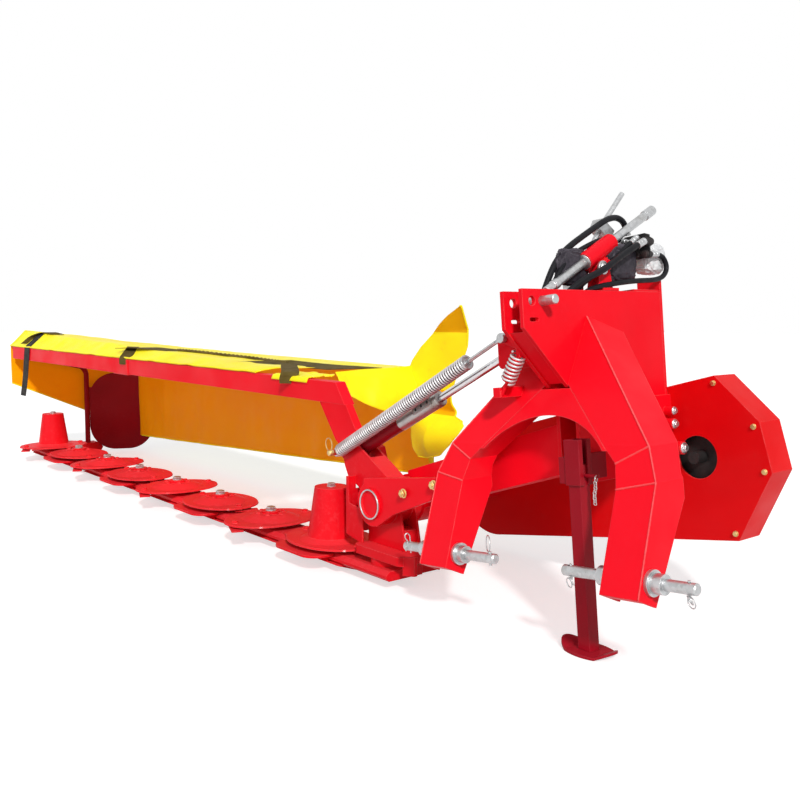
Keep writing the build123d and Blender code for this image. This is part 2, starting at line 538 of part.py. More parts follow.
# ---------------------------------------------------------------- cutterbar
with BuildPart() as cutterbar:
    with BuildSketch(along(BAR_TIP_X)):
        Polygon((BAR_Y0, BAR_Z0 + 10), (BAR_Y0, BAR_Z1 - 12), (BAR_Y0 + 14, BAR_Z1), (BAR_Y1, BAR_Z1),
                (BAR_Y1, BAR_Z0), (BAR_Y0 + 12, BAR_Z0), align=None)
    extrude(amount=BAR_END_X - BAR_TIP_X)
keep("cutterbar", cutterbar.part)

# each disc has a skid under the bar, and every second one a rounded stone guard in front of it
SKID_WIDTH, SKID_TAIL_Y, SKID_SOLE_Y = 290.0, 195.0, 96.0
STONE_X0, STONE_X1, STONE_REACH, STONE_CORNER = -150.0, 110.0, 92.0, 60.0
STONE_Z0, STONE_Z1 = 55.0, 63.0
with BuildPart() as skid_shoes:
    for n in range(DISC_COUNT):
        x = DISC_X1 - n * DISC_PITCH
        with BuildSketch(along(x - SKID_WIDTH / 2)):
            Polygon((BAR_Y0 - 10, BAR_Z0 - FIT), (SKID_TAIL_Y, BAR_Z0 - FIT), (SKID_TAIL_Y, 12),
                    (SKID_TAIL_Y - 15, 0), (SKID_SOLE_Y, 0), align=None)
        extrude(amount=SKID_WIDTH)
        if n % 2 == 0:
            with BuildSketch(along(x - 80)):
                Polygon((BAR_Y0 - FIT, BAR_Z0 - 5), (BAR_Y0 - FIT, STONE_Z1), (BAR_Y0 - 60, STONE_Z1),
                        (BAR_Y0 - 60, STONE_Z0), align=None)
            extrude(amount=160)
            with BuildSketch(Plane.XY.offset(STONE_Z0)) as stone_guard:
                with Locations((x + (STONE_X0 + STONE_X1) / 2, BAR_Y0 - FIT - STONE_REACH / 2)):
                    Rectangle(STONE_X1 - STONE_X0, STONE_REACH)
                fillet(stone_guard.vertices().group_by(Axis.Y)[0], STONE_CORNER)
            extrude(amount=STONE_Z1 - STONE_Z0)
keep("skid_shoes", skid_shoes.part)

with BuildPart() as inner_shoe:
    with BuildSketch(along(-772)):
        Polygon((60, BAR_Z0 - FIT), (330, BAR_Z0 - FIT), (330, 14), (315, 0), (112, 0), align=None)
    extrude(amount=80)
keep("inner_shoe", inner_shoe.part)

OUTER_SHOE_X0 = -3996.0
with BuildPart() as outer_shoe:
    with BuildSketch(along(OUTER_SHOE_X0)):
        Polygon((BAR_Y0 + 4, 30), (BAR_Y0 + 4, 60), (400, 60), (430, 30), (420, 12), (400, 0), (70, 0), align=None)
    extrude(amount=BAR_TIP_X - FIT - OUTER_SHOE_X0)
    with BuildSketch(along(BAR_TIP_X - FIT)):
        Polygon((200, 0), (200, 60), (400, 60), (430, 30), (420, 12), (400, 0), align=None)
    extrude(amount=44)
keep("outer_shoe", outer_shoe.part)

# ---------------------------------------------------------------- discs
disc_top = DISC_Z0 + DISC_PLATE
for n in range(DISC_COUNT):
    x = DISC_X1 - n * DISC_PITCH
    turn = 90 * (n % 2)
    hatted = n in (0, DISC_COUNT - 1)
    with BuildPart() as disc:
        with BuildSketch(Plane.XY.offset(DISC_Z0)):
            with Locations((x, DISC_Y)):
                Ellipse(DISC_LONG, DISC_SHORT, rotation=turn)
        extrude(amount=DISC_PLATE, taper=25)
        with BuildSketch(Plane.XY.offset(disc_top)):
            with Locations((x, DISC_Y)):
                Circle(DISC_DOME_R)
        with BuildSketch(Plane.XY.offset(disc_top + DISC_DOME)):
            with Locations((x, DISC_Y)):
                Circle(DISC_DOME_TOP_R)
        loft()
        with BuildSketch(Plane.XY.offset(disc_top + DISC_DOME)):
            with Locations((x, DISC_Y)):
                Circle(DISC_CAP_R)
        extrude(amount=DISC_CAP)
        with BuildSketch(Plane.XY.offset(BAR_Z1 + SEAM)):
            with Locations((x, DISC_Y)):
                Circle(DISC_NECK_R)
        extrude(amount=DISC_Z0 - BAR_Z1 - SEAM)
        if hatted:
            with BuildSketch(Plane.XY.offset(disc_top)):
                with Locations((x, DISC_Y)):
                    Circle(HAT_R)
            with BuildSketch(Plane.XY.offset(HAT_TOP_Z)):
                with Locations((x, DISC_Y)):
                    Circle(HAT_TOP_R)
            loft()
        # the knives hang freely and have swung back
        with BuildSketch(Plane.XY.offset(BLADE_TOP_Z - BLADE)):
            with Locations((x, DISC_Y)):
                with PolarLocations(BLADE_PIVOT_R, 2, start_angle=turn):
                    Polygon((-18, -BLADE_WIDTH / 2), (BLADE_REACH, -BLADE_WIDTH / 2), (BLADE_REACH, BLADE_WIDTH / 2),
                            (-18, BLADE_WIDTH / 2), rotation=BLADE_SWING, align=None)
        extrude(amount=BLADE)
        with BuildSketch(Plane.XY.offset(BLADE_TOP_Z)):
            with Locations((x, DISC_Y)):
                with PolarLocations(BLADE_PIVOT_R, 2, start_angle=turn):
                    Circle(BLADE_BOSS_R)
        extrude(amount=DISC_Z0 - BLADE_TOP_Z)
    keep(f"disc_{n + 1}", disc.part)

# ---------------------------------------------------------------- canopy frame
with BuildPart() as canopy_tube:
    with BuildSketch(along(TUBE_TIP_X)):
        with Locations(((TUBE_Y0 + TUBE_Y1) / 2, (TUBE_Z0 + TUBE_Z1) / 2)):
            Rectangle(TUBE_Y1 - TUBE_Y0, TUBE_Z1 - TUBE_Z0)
    extrude(amount=TUBE_END_X + TUBE_MITRE - TUBE_TIP_X)
    with BuildSketch(across(TUBE_Y0 - 10)):
        Polygon((TUBE_END_X, TUBE_Z1 + 1), (TUBE_END_X + TUBE_MITRE + 1, TUBE_Z0 - 1),
                (TUBE_END_X + TUBE_MITRE + 40, TUBE_Z1 + 1), align=None)
    extrude(amount=-100, mode=Mode.SUBTRACT)
keep("canopy_tube", canopy_tube.part)

ARM_LAYER_Y0, ARM_LAYER_Y1 = CHEEK_REAR_Y + CHEEK + FIT, 195.0
with BuildPart() as canopy_arm:
    with BuildSketch(across(ARM_LAYER_Y0)):
        Polygon((-1180, 618), (-1074, 624), (-1025, 560), (-959, 467), (-832, 417), (-800, 330), (-880, 290),
                (-1000, 300), (-1018, 346), (-1026, 385), (-1075, 415), (-1173, 542), align=None)
    extrude(amount=ARM_LAYER_Y0 - ARM_LAYER_Y1)
keep("canopy_arm", canopy_arm.part)

with BuildPart() as canopy_crosstube:
    with BuildSketch(across(TUBE_Y1 + FIT)):
        with Locations((-1126, 606)):
            Rectangle(56, 30)
    extrude(amount=TUBE_Y1 + 2 * FIT - ARM_LAYER_Y0)
keep("canopy_crosstube", canopy_crosstube.part)

HOOP_X, HOOP_R, HOOP_LEG_Y = -3934.0, 15.0, 342.0
with BuildPart() as canopy_hoop:
    with BuildLine(Plane.YZ.offset(HOOP_X)) as hoop_path:
        FilletPolyline((TUBE_Y1 - 20, 617), (HOOP_LEG_Y, 520), (HOOP_LEG_Y, 60 + FIT), radius=60)
    with BuildSketch(Plane(origin=hoop_path.line @ 0, z_dir=hoop_path.line % 0)):
        Circle(HOOP_R)
    sweep()
    with BuildSketch(along(HOOP_X - 2 * HOOP_R)):
        with Locations(((TUBE_Y0 + TUBE_Y1) / 2, (TUBE_Z0 + TUBE_Z1) / 2)):
            Rectangle(TUBE_Y1 - TUBE_Y0 + 2 * FIT, TUBE_Z1 - TUBE_Z0 + 2 * FIT)
    extrude(amount=4 * HOOP_R, mode=Mode.SUBTRACT)
keep("canopy_hoop", canopy_hoop.part)

# ---------------------------------------------------------------- swath board
BOARD_ANGLE, BOARD_LENGTH, BOARD_PLATE = 24.0, 375.0, 6.0
board_plane = Plane(origin=(HOOP_X, HOOP_LEG_Y, 0),
                    x_dir=(sin(radians(BOARD_ANGLE)), cos(radians(BOARD_ANGLE)), 0), z_dir=(0, 0, 1))
with BuildPart() as swath_board:
    with BuildSketch(Plane(origin=board_plane.origin, x_dir=board_plane.x_dir, z_dir=-board_plane.y_dir)):
        with Locations((HOOP_R + SEAM + BOARD_LENGTH / 2, 250)):
            RectangleRounded(BOARD_LENGTH, 470, 150)
        with Locations((HOOP_R + SEAM + 44, 300)):
            Rectangle(88, 200)
    extrude(amount=BOARD_PLATE / 2, both=True)
keep("swath_board", swath_board.part)

# ---------------------------------------------------------------- canvas
with BuildPart() as canvas_top:
    with BuildSketch(along(CANVAS_TIP_X)):
        Polygon((TUBE_Y0, TUBE_Z1 + SEAM), (TUBE_Y0, TUBE_Z1 + SEAM + CANVAS),
                *[(y, z + CANVAS) for y, z in CANVAS_CROWN], (CANVAS_REAR_Y, CANVAS_REAR_Z + CANVAS),
                (CANVAS_REAR_Y, CANVAS_REAR_Z), *reversed(CANVAS_CROWN), align=None)
    with BuildSketch(along(CANVAS_INNER_X)):
        Polygon((TUBE_Y0, TUBE_Z1 + SEAM), (TUBE_Y0, TUBE_Z1 + SEAM + CANVAS),
                *[(y, TUBE_Z1 + SEAM + CANVAS) for y, z in CANVAS_CROWN], (CANVAS_REAR_Y, CANVAS_REAR_Z + CANVAS),
                (CANVAS_REAR_Y, CANVAS_REAR_Z), *[(y, TUBE_Z1 + SEAM) for y, z in reversed(CANVAS_CROWN)],
                align=None)
    loft(ruled=True)
    # behind the folding arm it reaches farther in
    with BuildSketch(along(CANVAS_INNER_X)):
        Polygon((340, CANVAS_REAR_Z + 3), (340, CANVAS_REAR_Z + 3 + CANVAS), (CANVAS_REAR_Y, CANVAS_REAR_Z + CANVAS),
                (CANVAS_REAR_Y, CANVAS_REAR_Z), align=None)
    extrude(amount=CANVAS_REAR_END_X - CANVAS_INNER_X)
keep("canvas_top", canvas_top.part)

with BuildPart() as canvas_rear:
    with BuildSketch(across(CANVAS_REAR_Y)):
        Polygon((CANVAS_REAR_TIP_X, CANVAS_HEM_TIP_Z), (CANVAS_REAR_TIP_X, CANVAS_REAR_Z - SEAM),
                (CANVAS_REAR_END_X, CANVAS_REAR_Z - SEAM), (CANVAS_REAR_END_X, CANVAS_HEM_END_Z), align=None)
    extrude(amount=CANVAS)
keep("canvas_rear", canvas_rear.part)

with BuildPart() as canvas_end:
    with BuildSketch(along(CANVAS_TIP_X - SEAM - CANVAS)):
        Polygon((TUBE_Y0, TUBE_Z1), *CANVAS_CROWN, (CANVAS_REAR_Y, CANVAS_REAR_Z), (CANVAS_REAR_Y, 150),
                (334, 263), (TUBE_Y0, 445), align=None)
    extrude(amount=CANVAS)
keep("canvas_end", canvas_end.part)

FLAP_Y = 496.0
with BuildPart() as canvas_flap:
    with BuildSketch(across(FLAP_Y)):
        Polygon((CANVAS_REAR_END_X + SEAM, 692), (-964, 788), (-846, 869), (-779, 894), (-766, 740), (-761, 457),
                (-860, 380), (-947, 336), (CANVAS_REAR_END_X + SEAM, 464), align=None)
    extrude(amount=-CANVAS)
keep("canvas_flap", canvas_flap.part)

with BuildPart() as canvas_gusset:
    with BuildSketch(along(CANVAS_REAR_END_X - CANVAS)):
        Polygon((FLAP_Y + CANVAS + SEAM, 480), (FLAP_Y + CANVAS + SEAM, 645), (CANVAS_REAR_Y - CANVAS - SEAM, 645),
                (CANVAS_REAR_Y - CANVAS - SEAM, CANVAS_HEM_END_Z + 20), align=None)
    extrude(amount=CANVAS)
keep("canvas_gusset", canvas_gusset.part)

# straps over the canopy tube, each with its end hanging down in front of it
with BuildPart() as canvas_straps:
    for x, drop in ((-3700.0, 370.0), (-987.0, 630.0)):
        with BuildSketch(along(x)):
            Polygon((TUBE_Y0 - SEAM, TUBE_Z1 + SEAM), (TUBE_Y0 - SEAM - 4, TUBE_Z1 + SEAM + 4),
                    (TUBE_Y0 - SEAM - 4, drop), (TUBE_Y0 - SEAM, drop), align=None)
        extrude(amount=60)
keep("canvas_straps", canvas_straps.part)

# ---------------------------------------------------------------- adjuster, valve and hoses on the mast
SLEEVE_R, SLEEVE_BORE_R = 25.0, 12.8
ADJUSTER_LOW, ADJUSTER_HIGH, ADJUSTER_R, ADJUSTER_CAP_R = (168.0, 880.0), (622.0, 1110.0), 12.5, 15.0
adjuster_slope = Plane(origin=(0, *ADJUSTER_LOW), x_dir=(1, 0, 0),
                       z_dir=(0, ADJUSTER_HIGH[0] - ADJUSTER_LOW[0], ADJUSTER_HIGH[1] - ADJUSTER_LOW[1]))
adjuster_length = hypot(ADJUSTER_HIGH[0] - ADJUSTER_LOW[0], ADJUSTER_HIGH[1] - ADJUSTER_LOW[1])
with BuildPart() as adjuster_tube:
    with BuildSketch(adjuster_slope):
        Circle(ADJUSTER_R)
    extrude(amount=adjuster_length)
    with BuildSketch(adjuster_slope.offset(adjuster_length - 44)):
        Circle(ADJUSTER_CAP_R)
    extrude(amount=44)
keep("adjuster_tube", adjuster_tube.part, True)

SLEEVE_Y, SLEEVE_PIN_Z = 356.0, 934.0
with BuildPart() as trunnion_sleeve:
    with BuildSketch(adjuster_slope.offset(140)):
        Circle(SLEEVE_R)
    extrude(amount=136)
    with BuildSketch(along(-20)):
        Polygon((SLEEVE_Y - 34, MAST_TOP_Z + SEAM), (SLEEVE_Y + 34, MAST_TOP_Z + SEAM), (SLEEVE_Y + 16, SLEEVE_PIN_Z + 24),
                (SLEEVE_Y - 16, SLEEVE_PIN_Z + 8), align=None)
    extrude(amount=40)
    with BuildSketch(along(-34)):
        with Locations((SLEEVE_Y, SLEEVE_PIN_Z)):
            Circle(15)
    extrude(amount=68)
    with BuildSketch(Plane.XY.offset(MAST_TOP_Z + SEAM)):
        with Locations((0, SLEEVE_Y)):
            Rectangle(2 * mast_out_x, 68)
    extrude(amount=8)
    with BuildSketch(adjuster_slope):
        Circle(ADJUSTER_R + SEAM)
    extrude(amount=adjuster_length, mode=Mode.SUBTRACT)
keep("trunnion_sleeve", trunnion_sleeve.part, True)

VALVE_X = -54.0
with BuildPart() as valve_block:
    with BuildSketch(Plane(origin=(VALVE_X, 448, 1049), x_dir=(1, 0, 0), z_dir=(0, 0.55, 0.835))):
        Rectangle(38, 60)
    extrude(amount=18, both=True)
    with BuildSketch(Plane(origin=(VALVE_X, 300, 876), x_dir=(1, 0, 0), z_dir=(0, 0.62, 0.785))):
        Circle(8)
    extrude(amount=216)
    with BuildSketch(Plane(origin=(VALVE_X, 446, 1060), x_dir=(1, 0, 0), z_dir=(0, 0.72, 0.694))):
        Circle(8)
    extrude(amount=150)
    with BuildSketch(Plane.XY.offset(MAST_TOP_Z + SEAM)):
        with Locations(((VALVE_X - 10 - MAST_GAP / 2) / 2, 295)):
            Rectangle(MAST_GAP / 2 - VALVE_X - 10 + 20 - MAST_GAP, 44)
    extrude(amount=28)
keep("valve_block", valve_block.part, True)

HOSE_R, THIN_HOSE_R = 9.0, 7.0
COUPLING_Y0, COUPLING_Y1, COUPLING_Z0, COUPLING_Z1 = 508.0, 545.0, 956.0, 1030.0
hose_side_x = mast_out_x + HOSE_R + SEAM
hose_routes = (
    # tube radius, X, then points (Y, Z) from the mast to the couplings
    (HOSE_R, -22, ((150, MAST_TOP_Z + 10), (190, 925), (264, 984), (354, 1030), (440, 1074), (514, 1070),
                   (527, COUPLING_Z1 + 4))),
    (THIN_HOSE_R, hose_side_x, ((235, MAST_TOP_Z - 14), (357, 880), (457, 893), (610, 902), (610, 968),
                                (COUPLING_Y1 + 1, 966))),
    (HOSE_R, hose_side_x, ((185, MAST_TOP_Z - 4), (300, 912), (394, 957), (480, 993), (COUPLING_Y0 - 4.5, 1004))),
)
with BuildPart() as hoses:
    for radius, x, points in hose_routes:
        runs = [hypot(q[0] - w[0], q[1] - w[1]) for w, q in zip(points, points[1:])]
        turns = []
        for w, q, e in zip(points, points[1:], points[2:]):
            turn = atan2(e[1] - q[1], e[0] - q[0]) - atan2(q[1] - w[1], q[0] - w[0])
            turns.append(abs((turn + 3.14159265) % 6.2831853 - 3.14159265))
        bend = min(0.45 * min(a, b) / tan(t / 2) for a, b, t in zip(runs, runs[1:], turns))
        print("hose bend radius", round(bend, 1), "at tube radius", radius)
        with BuildLine(Plane.YZ.offset(x)) as hose_path:
            FilletPolyline(*points, radius=bend)
        with BuildSketch(Plane(origin=hose_path.line @ 0, z_dir=hose_path.line % 0)):
            Circle(radius)
        sweep(path=hose_path.line)
keep("hoses", hoses.part, True)

# the couplings where they end
with BuildPart() as couplings:
    with BuildSketch(Plane.XY.offset(COUPLING_Z0)):
        with Locations((13, (COUPLING_Y0 + COUPLING_Y1) / 2)):
            Rectangle(88, COUPLING_Y1 - COUPLING_Y0)
    extrude(amount=COUPLING_Z1 - COUPLING_Z0)
keep("couplings", couplings.part, True)

with BuildPart() as valve_cover:
    with BuildSketch(along(-34)):
        Polygon((556, 917), (596, 917), (640, 945), (648, 984), (620, 1010), (COUPLING_Y1 + SEAM, 1010),
                (COUPLING_Y1 + SEAM, 955), (546, 952), align=None)
    extrude(amount=64)
keep("valve_cover", valve_cover.part, True)

with BuildPart() as mast_tray:
    with BuildSketch(Plane.XY.offset(MAST_TOP_Z + SEAM)):
        with Locations((-2, 520)):
            Rectangle(2 * mast_out_x, 120)
    extrude(amount=6)
keep("mast_tray", mast_tray.part, True)

# ---------------------------------------------------------------- short spring and small brackets on the headstock
SHORT_SPRING_Y, SHORT_SPRING_TOP, SHORT_SPRING_LOW = 60.0, (-47.0, 696.0), (-93.0, 629.0)
short_axis = axis_plane(SHORT_SPRING_LOW, SHORT_SPRING_TOP, SHORT_SPRING_Y)
SHORT_LUG_X = -137.0
with BuildPart() as short_spring:
    with BuildSketch(short_axis.offset(-52)):
        Circle(5)
    extrude(amount=136)
    with BuildSketch(short_axis):
        Circle(17)
    extrude(amount=64)
    # lugs on the mast plate and on the hitch arm
    with BuildSketch(Plane.XY.offset(688)):
        with Locations((-mast_out_x - SEAM - 6, SHORT_SPRING_Y)):
            Rectangle(12, 12)
    extrude(amount=26)
    with BuildSketch(along(SHORT_LUG_X - 6)):
        Polygon((52, 584), (web_line(584) - SEAM, 584), (web_line(612) - SEAM, 612), (52, 612), align=None)
    extrude(amount=26)
keep("short_spring", short_spring.part, True)

with BuildPart() as guard_bracket:
    with BuildSketch(along(mast_out_x + SEAM)):
        Polygon((500, 560), (GUARD_Y0 - SEAM, 560), (GUARD_Y0 - SEAM, 385), (540, 385), (500, 440), align=None)
    extrude(amount=8)
    # centre (Y, Z), radius and length of each boss
    for y, z, radius, length in ((566, 512, 13, 28), (566, 474, 16, 28), (560, 405, 19, 58)):
        with BuildSketch(along(mast_out_x + 8)):
            with Locations((y, z)):
                Circle(radius)
        extrude(amount=length)
keep("guard_bracket", guard_bracket.part, True)

# ---------------------------------------------------------------- origin and export
boxes = [piece.bounding_box() for piece in kept.values()]
origin_x = (min(b.min.X for b in boxes) + max(b.max.X for b in boxes)) / 2
origin_y = (min(b.min.Y for b in boxes) + max(b.max.Y for b in boxes)) / 2
origin_z = min(b.min.Z for b in boxes)
to_origin = Location((-origin_x, -origin_y, -origin_z))

os.makedirs("parts", exist_ok=True)
for name, piece in kept.items():
    placed = to_origin * piece
    placed.label = name
    export_step(placed, f"parts/{name}.step")
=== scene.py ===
"""Looks of a rear-mounted disc mower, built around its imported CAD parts.

Lengths in the tables are millimetres in the machine's drawing: X = 0 is the middle of the hitch with +X
the side away from the cutterbar, Y = 0 is the lower link pins with +Y rearward, Z = 0 is the ground.
at() turns them into the row's frame, and head() does it for parts drawn level on the leaning headstock.
"""
import math

import bmesh
import bpy
from mathutils import Matrix, Vector, noise


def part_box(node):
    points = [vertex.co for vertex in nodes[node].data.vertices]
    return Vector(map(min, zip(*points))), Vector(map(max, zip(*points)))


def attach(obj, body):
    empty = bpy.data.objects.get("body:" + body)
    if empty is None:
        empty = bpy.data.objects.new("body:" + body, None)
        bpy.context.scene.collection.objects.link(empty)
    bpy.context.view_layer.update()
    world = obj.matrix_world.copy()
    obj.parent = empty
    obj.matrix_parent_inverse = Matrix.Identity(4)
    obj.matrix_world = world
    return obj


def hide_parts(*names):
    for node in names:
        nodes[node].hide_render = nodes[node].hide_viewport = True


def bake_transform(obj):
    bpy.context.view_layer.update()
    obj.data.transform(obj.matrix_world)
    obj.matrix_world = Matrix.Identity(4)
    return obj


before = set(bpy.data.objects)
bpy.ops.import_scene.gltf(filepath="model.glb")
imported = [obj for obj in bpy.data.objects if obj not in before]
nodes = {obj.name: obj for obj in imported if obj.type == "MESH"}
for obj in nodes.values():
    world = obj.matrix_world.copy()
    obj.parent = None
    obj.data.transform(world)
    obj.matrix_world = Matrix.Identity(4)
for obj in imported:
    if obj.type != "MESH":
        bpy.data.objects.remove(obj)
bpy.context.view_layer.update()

MM = 0.001
BAR_LOW_CORNER = (-3960.0, 20.0, 30.0)  # of node cutterbar, in the drawing
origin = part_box("cutterbar")[0] - Vector(BAR_LOW_CORNER) * MM
HEAD_LEAN = math.radians(6.0)
PIVOT = (-708.0, 260.0)


def at(x, y, z):
    """A point of the drawing in the row's frame."""
    return Vector((x, y, z)) * MM + origin


def head(x, y, z):
    """A point drawn on the level headstock, leaned about the fold pivot, in the row's frame."""
    dx, dz = x - PIVOT[0], z - PIVOT[1]
    c, s = math.cos(HEAD_LEAN), math.sin(HEAD_LEAN)
    return at(PIVOT[0] + dx * c - dz * s, y, PIVOT[1] + dx * s + dz * c)


def head_dir(x, y, z):
    return (head(x, y, z) - head(0, 0, 0)).normalized()


# ---------------------------------------------------------------- materials
def new_material(name):
    mat = bpy.data.materials.new(name)
    mat.use_nodes = True
    return mat, mat.node_tree, mat.node_tree.nodes["Principled BSDF"]


def feed(tree, socket, value):
    """Links a socket to another one, or sets its value; a colour is three numbers."""
    if isinstance(value, bpy.types.NodeSocket):
        tree.links.new(value, socket)
    elif isinstance(value, tuple):
        socket.default_value = (*value, 1)
    else:
        socket.default_value = value


def dress(tree, node, sockets):
    """Feeds each named socket of a node."""
    for name, value in sockets.items():
        feed(tree, node.inputs[name], value)


def object_coords(tree):
    return tree.nodes.new("ShaderNodeTexCoord").outputs["Object"]


def noise_node(tree, scale, detail=3.0, rough=0.5, stretch=None):
    where = object_coords(tree)
    if stretch:
        mapping = tree.nodes.new("ShaderNodeMapping")
        mapping.inputs["Scale"].default_value = stretch
        feed(tree, mapping.inputs["Vector"], where)
        where = mapping.outputs["Vector"]
    node = tree.nodes.new("ShaderNodeTexNoise")
    dress(tree, node, {"Scale": scale, "Detail": detail, "Roughness": rough, "Vector": where})
    return node.outputs["Fac"]


def ramp(tree, source, stops):
    node = tree.nodes.new("ShaderNodeValToRGB")
    elements = node.color_ramp.elements
    for element, (place, value) in zip(elements, stops):
        element.position = place
        element.color = (*value, 1) if isinstance(value, tuple) else (value, value, value, 1)
    feed(tree, node.inputs["Fac"], source)
    return node.outputs["Color"]


def clouds(tree, scale, detail, rough, start, end, low=0.0, high=1.0, stretch=None):
    """Noise that goes from low to high between start and end of its range."""
    return ramp(tree, noise_node(tree, scale, detail, rough, stretch), ((start, low), (end, high)))


def wave(tree, direction, scale, distortion=0.0):
    """Parallel threads."""
    node = tree.nodes.new("ShaderNodeTexWave")
    node.wave_type = "BANDS"
    node.bands_direction = direction
    dress(tree, node, {"Scale": scale, "Distortion": distortion, "Vector": object_coords(tree)})
    return node.outputs["Fac"]


def mix(tree, factor, a, b, how="MIX"):
    node = tree.nodes.new("ShaderNodeMix")
    node.data_type = "RGBA"
    node.blend_type = how
    for index, value in ((0, factor), (6, a), (7, b)):
        feed(tree, node.inputs[index], value)
    return node.outputs[2]


def maths(tree, how, a, b):
    node = tree.nodes.new("ShaderNodeMath")
    node.operation = how
    node.use_clamp = True
    feed(tree, node.inputs[0], a)
    feed(tree, node.inputs[1], b)
    return node.outputs[0]


def times(tree, a, b):
    return maths(tree, "MULTIPLY", a, b)


def plus(tree, a, b):
    return maths(tree, "ADD", a, b)


def bevel_normal(tree, radius):
    node = tree.nodes.new("ShaderNodeBevel")
    node.samples = 4
    node.inputs["Radius"].default_value = radius
    return node.outputs["Normal"]


def edge_mask(tree, radius):
    """1 along the sharp edges of a part, 0 on its faces."""
    geometry = tree.nodes.new("ShaderNodeNewGeometry")
    dot = tree.nodes.new("ShaderNodeVectorMath")
    dot.operation = "DOT_PRODUCT"
    feed(tree, dot.inputs[0], bevel_normal(tree, radius))
    feed(tree, dot.inputs[1], geometry.outputs["True Normal"])
    return ramp(tree, dot.outputs["Value"], ((0.80, 1.0), (0.97, 0.0)))


def bump(tree, shader, height, strength, distance, rounded=0.0):
    node = tree.nodes.new("ShaderNodeBump")
    dress(tree, node, {"Strength": strength, "Distance": distance, "Height": height})
    if rounded:
        feed(tree, node.inputs["Normal"], bevel_normal(tree, rounded))
    feed(tree, shader.inputs["Normal"], node.outputs["Normal"])


def up_mask(tree, start, end):
    """1 on faces that look up, where dust lies."""
    geometry = tree.nodes.new("ShaderNodeNewGeometry")
    split = tree.nodes.new("ShaderNodeSeparateXYZ")
    feed(tree, split.inputs[0], geometry.outputs["Normal"])
    return ramp(tree, split.outputs["Z"], ((start, 0.0), (end, 1.0)))


def seen_straight(tree):
    """1 where a thing is seen, mirrored or shown through another, 0 where it only lights."""
    path = tree.nodes.new("ShaderNodeLightPath").outputs
    return plus(tree, path["Is Camera Ray"], plus(tree, path["Is Glossy Ray"], path["Is Transmission Ray"]))


PAINT_GLOSS = 0.09


def paint(name, colour, shade, dust, dust_share, rough=0.42, coat=0.05, edge=(0.95, 0.20, 0.20)):
    """Sprayed enamel: cloudy colour, dust on what looks up, paler edges that are partly rubbed paint and
    partly painted highlight, orange peel.
    """
    mat, tree, shader = new_material(name)
    body = mix(tree, clouds(tree, 2.6, 4, 0.5, 0.35, 0.7), colour, shade)
    speck = times(tree, clouds(tree, 55, 6, 0.7, 0.5, 0.72), clouds(tree, 5, 5, 0.6, 0.42, 0.75))
    lying = times(tree, up_mask(tree, 0.1, 0.9), 0.55)
    dirt = times(tree, plus(tree, speck, lying), dust_share)
    body = mix(tree, dirt, body, dust)
    # paler edges: partly rubbed paint, partly a painted highlight along the edges
    worn_and_highlit = times(tree, edge_mask(tree, 0.0035), clouds(tree, 24, 4, 0.5, 0.3, 0.6, 0.25))
    body = mix(tree, times(tree, worn_and_highlit, 0.55), body, edge)
    gloss = clouds(tree, 7, 5, 0.5, 0.3, 0.75, rough * 0.8, min(1.0, rough * 1.5))
    dress(tree, shader, {"Base Color": body, "Roughness": plus(tree, gloss, times(tree, dirt, 0.6)),
                         "Coat Weight": coat, "Coat Roughness": 0.12, "Specular IOR Level": PAINT_GLOSS})
    bump(tree, shader, noise_node(tree, 160, 2), 0.12, 0.0006, rounded=0.003)
    return mat


def metal(name, colour, stain, rough, scale=18.0, spangle=0.25, stretch=None, metallic=1.0, edge=None):
    """Zinc or steel: cloudy spangle, stains, scuffed gloss."""
    mat, tree, shader = new_material(name)
    cells = tree.nodes.new("ShaderNodeTexVoronoi")
    dress(tree, cells, {"Scale": scale * 6, "Vector": object_coords(tree)})
    grey = tree.nodes.new("ShaderNodeRGBToBW")
    feed(tree, grey.inputs[0], cells.outputs["Color"])
    facets = ramp(tree, grey.outputs[0], ((0.0, 1.0 - spangle), (1.0, 1.0)))
    base = mix(tree, 1.0, colour, facets, "MULTIPLY")
    marks = clouds(tree, scale, 6, 0.65, 0.5, 0.72, stretch=stretch)
    base = mix(tree, times(tree, marks, 0.7), base, stain)
    if edge:
        base = mix(tree, times(tree, edge_mask(tree, 0.0015), 0.8), base, edge)
    gloss = clouds(tree, scale * 2.5, 5, 0.6, 0.3, 0.75, rough * 0.75, rough * 1.4, stretch)
    dress(tree, shader, {"Base Color": base, "Metallic": metallic, "Roughness": gloss})
    bump(tree, shader, noise_node(tree, scale * 14, 3, 0.6, stretch), 0.18, 0.0004, rounded=0.001)
    return mat


def canvas_material(name, colour, shade, grime, sheen, painted_glow):
    """Coated tarpaulin: crossed threads under the coating, cloudy colour, grime, and a painted glow: the
    cloth emits a little of its own colour in place of light shining through it.
    """
    mat, tree, shader = new_material(name)
    body = mix(tree, clouds(tree, 3.2, 5, 0.6, 0.35, 0.72), colour, shade)
    body = mix(tree, times(tree, clouds(tree, 26, 7, 0.7, 0.56, 0.8), 0.35), body, grime)
    # painted glow: emission in the cloth's own colour stands in for light through the cloth
    dress(tree, shader, {"Base Color": body, "Emission Color": body, "Emission Strength": painted_glow,
                         "Roughness": clouds(tree, 11, 4, 0.5, 0.3, 0.75, 0.34, 0.55),
                         "Specular IOR Level": 0.1, "Sheen Weight": sheen, "Sheen Roughness": 0.5})
    weave = times(tree, wave(tree, "X", 190, 0.6), wave(tree, "Z", 190, 0.6))
    bump(tree, shader, plus(tree, times(tree, weave, 0.25), noise_node(tree, 20, 5, 0.6)), 0.25, 0.003)
    return mat


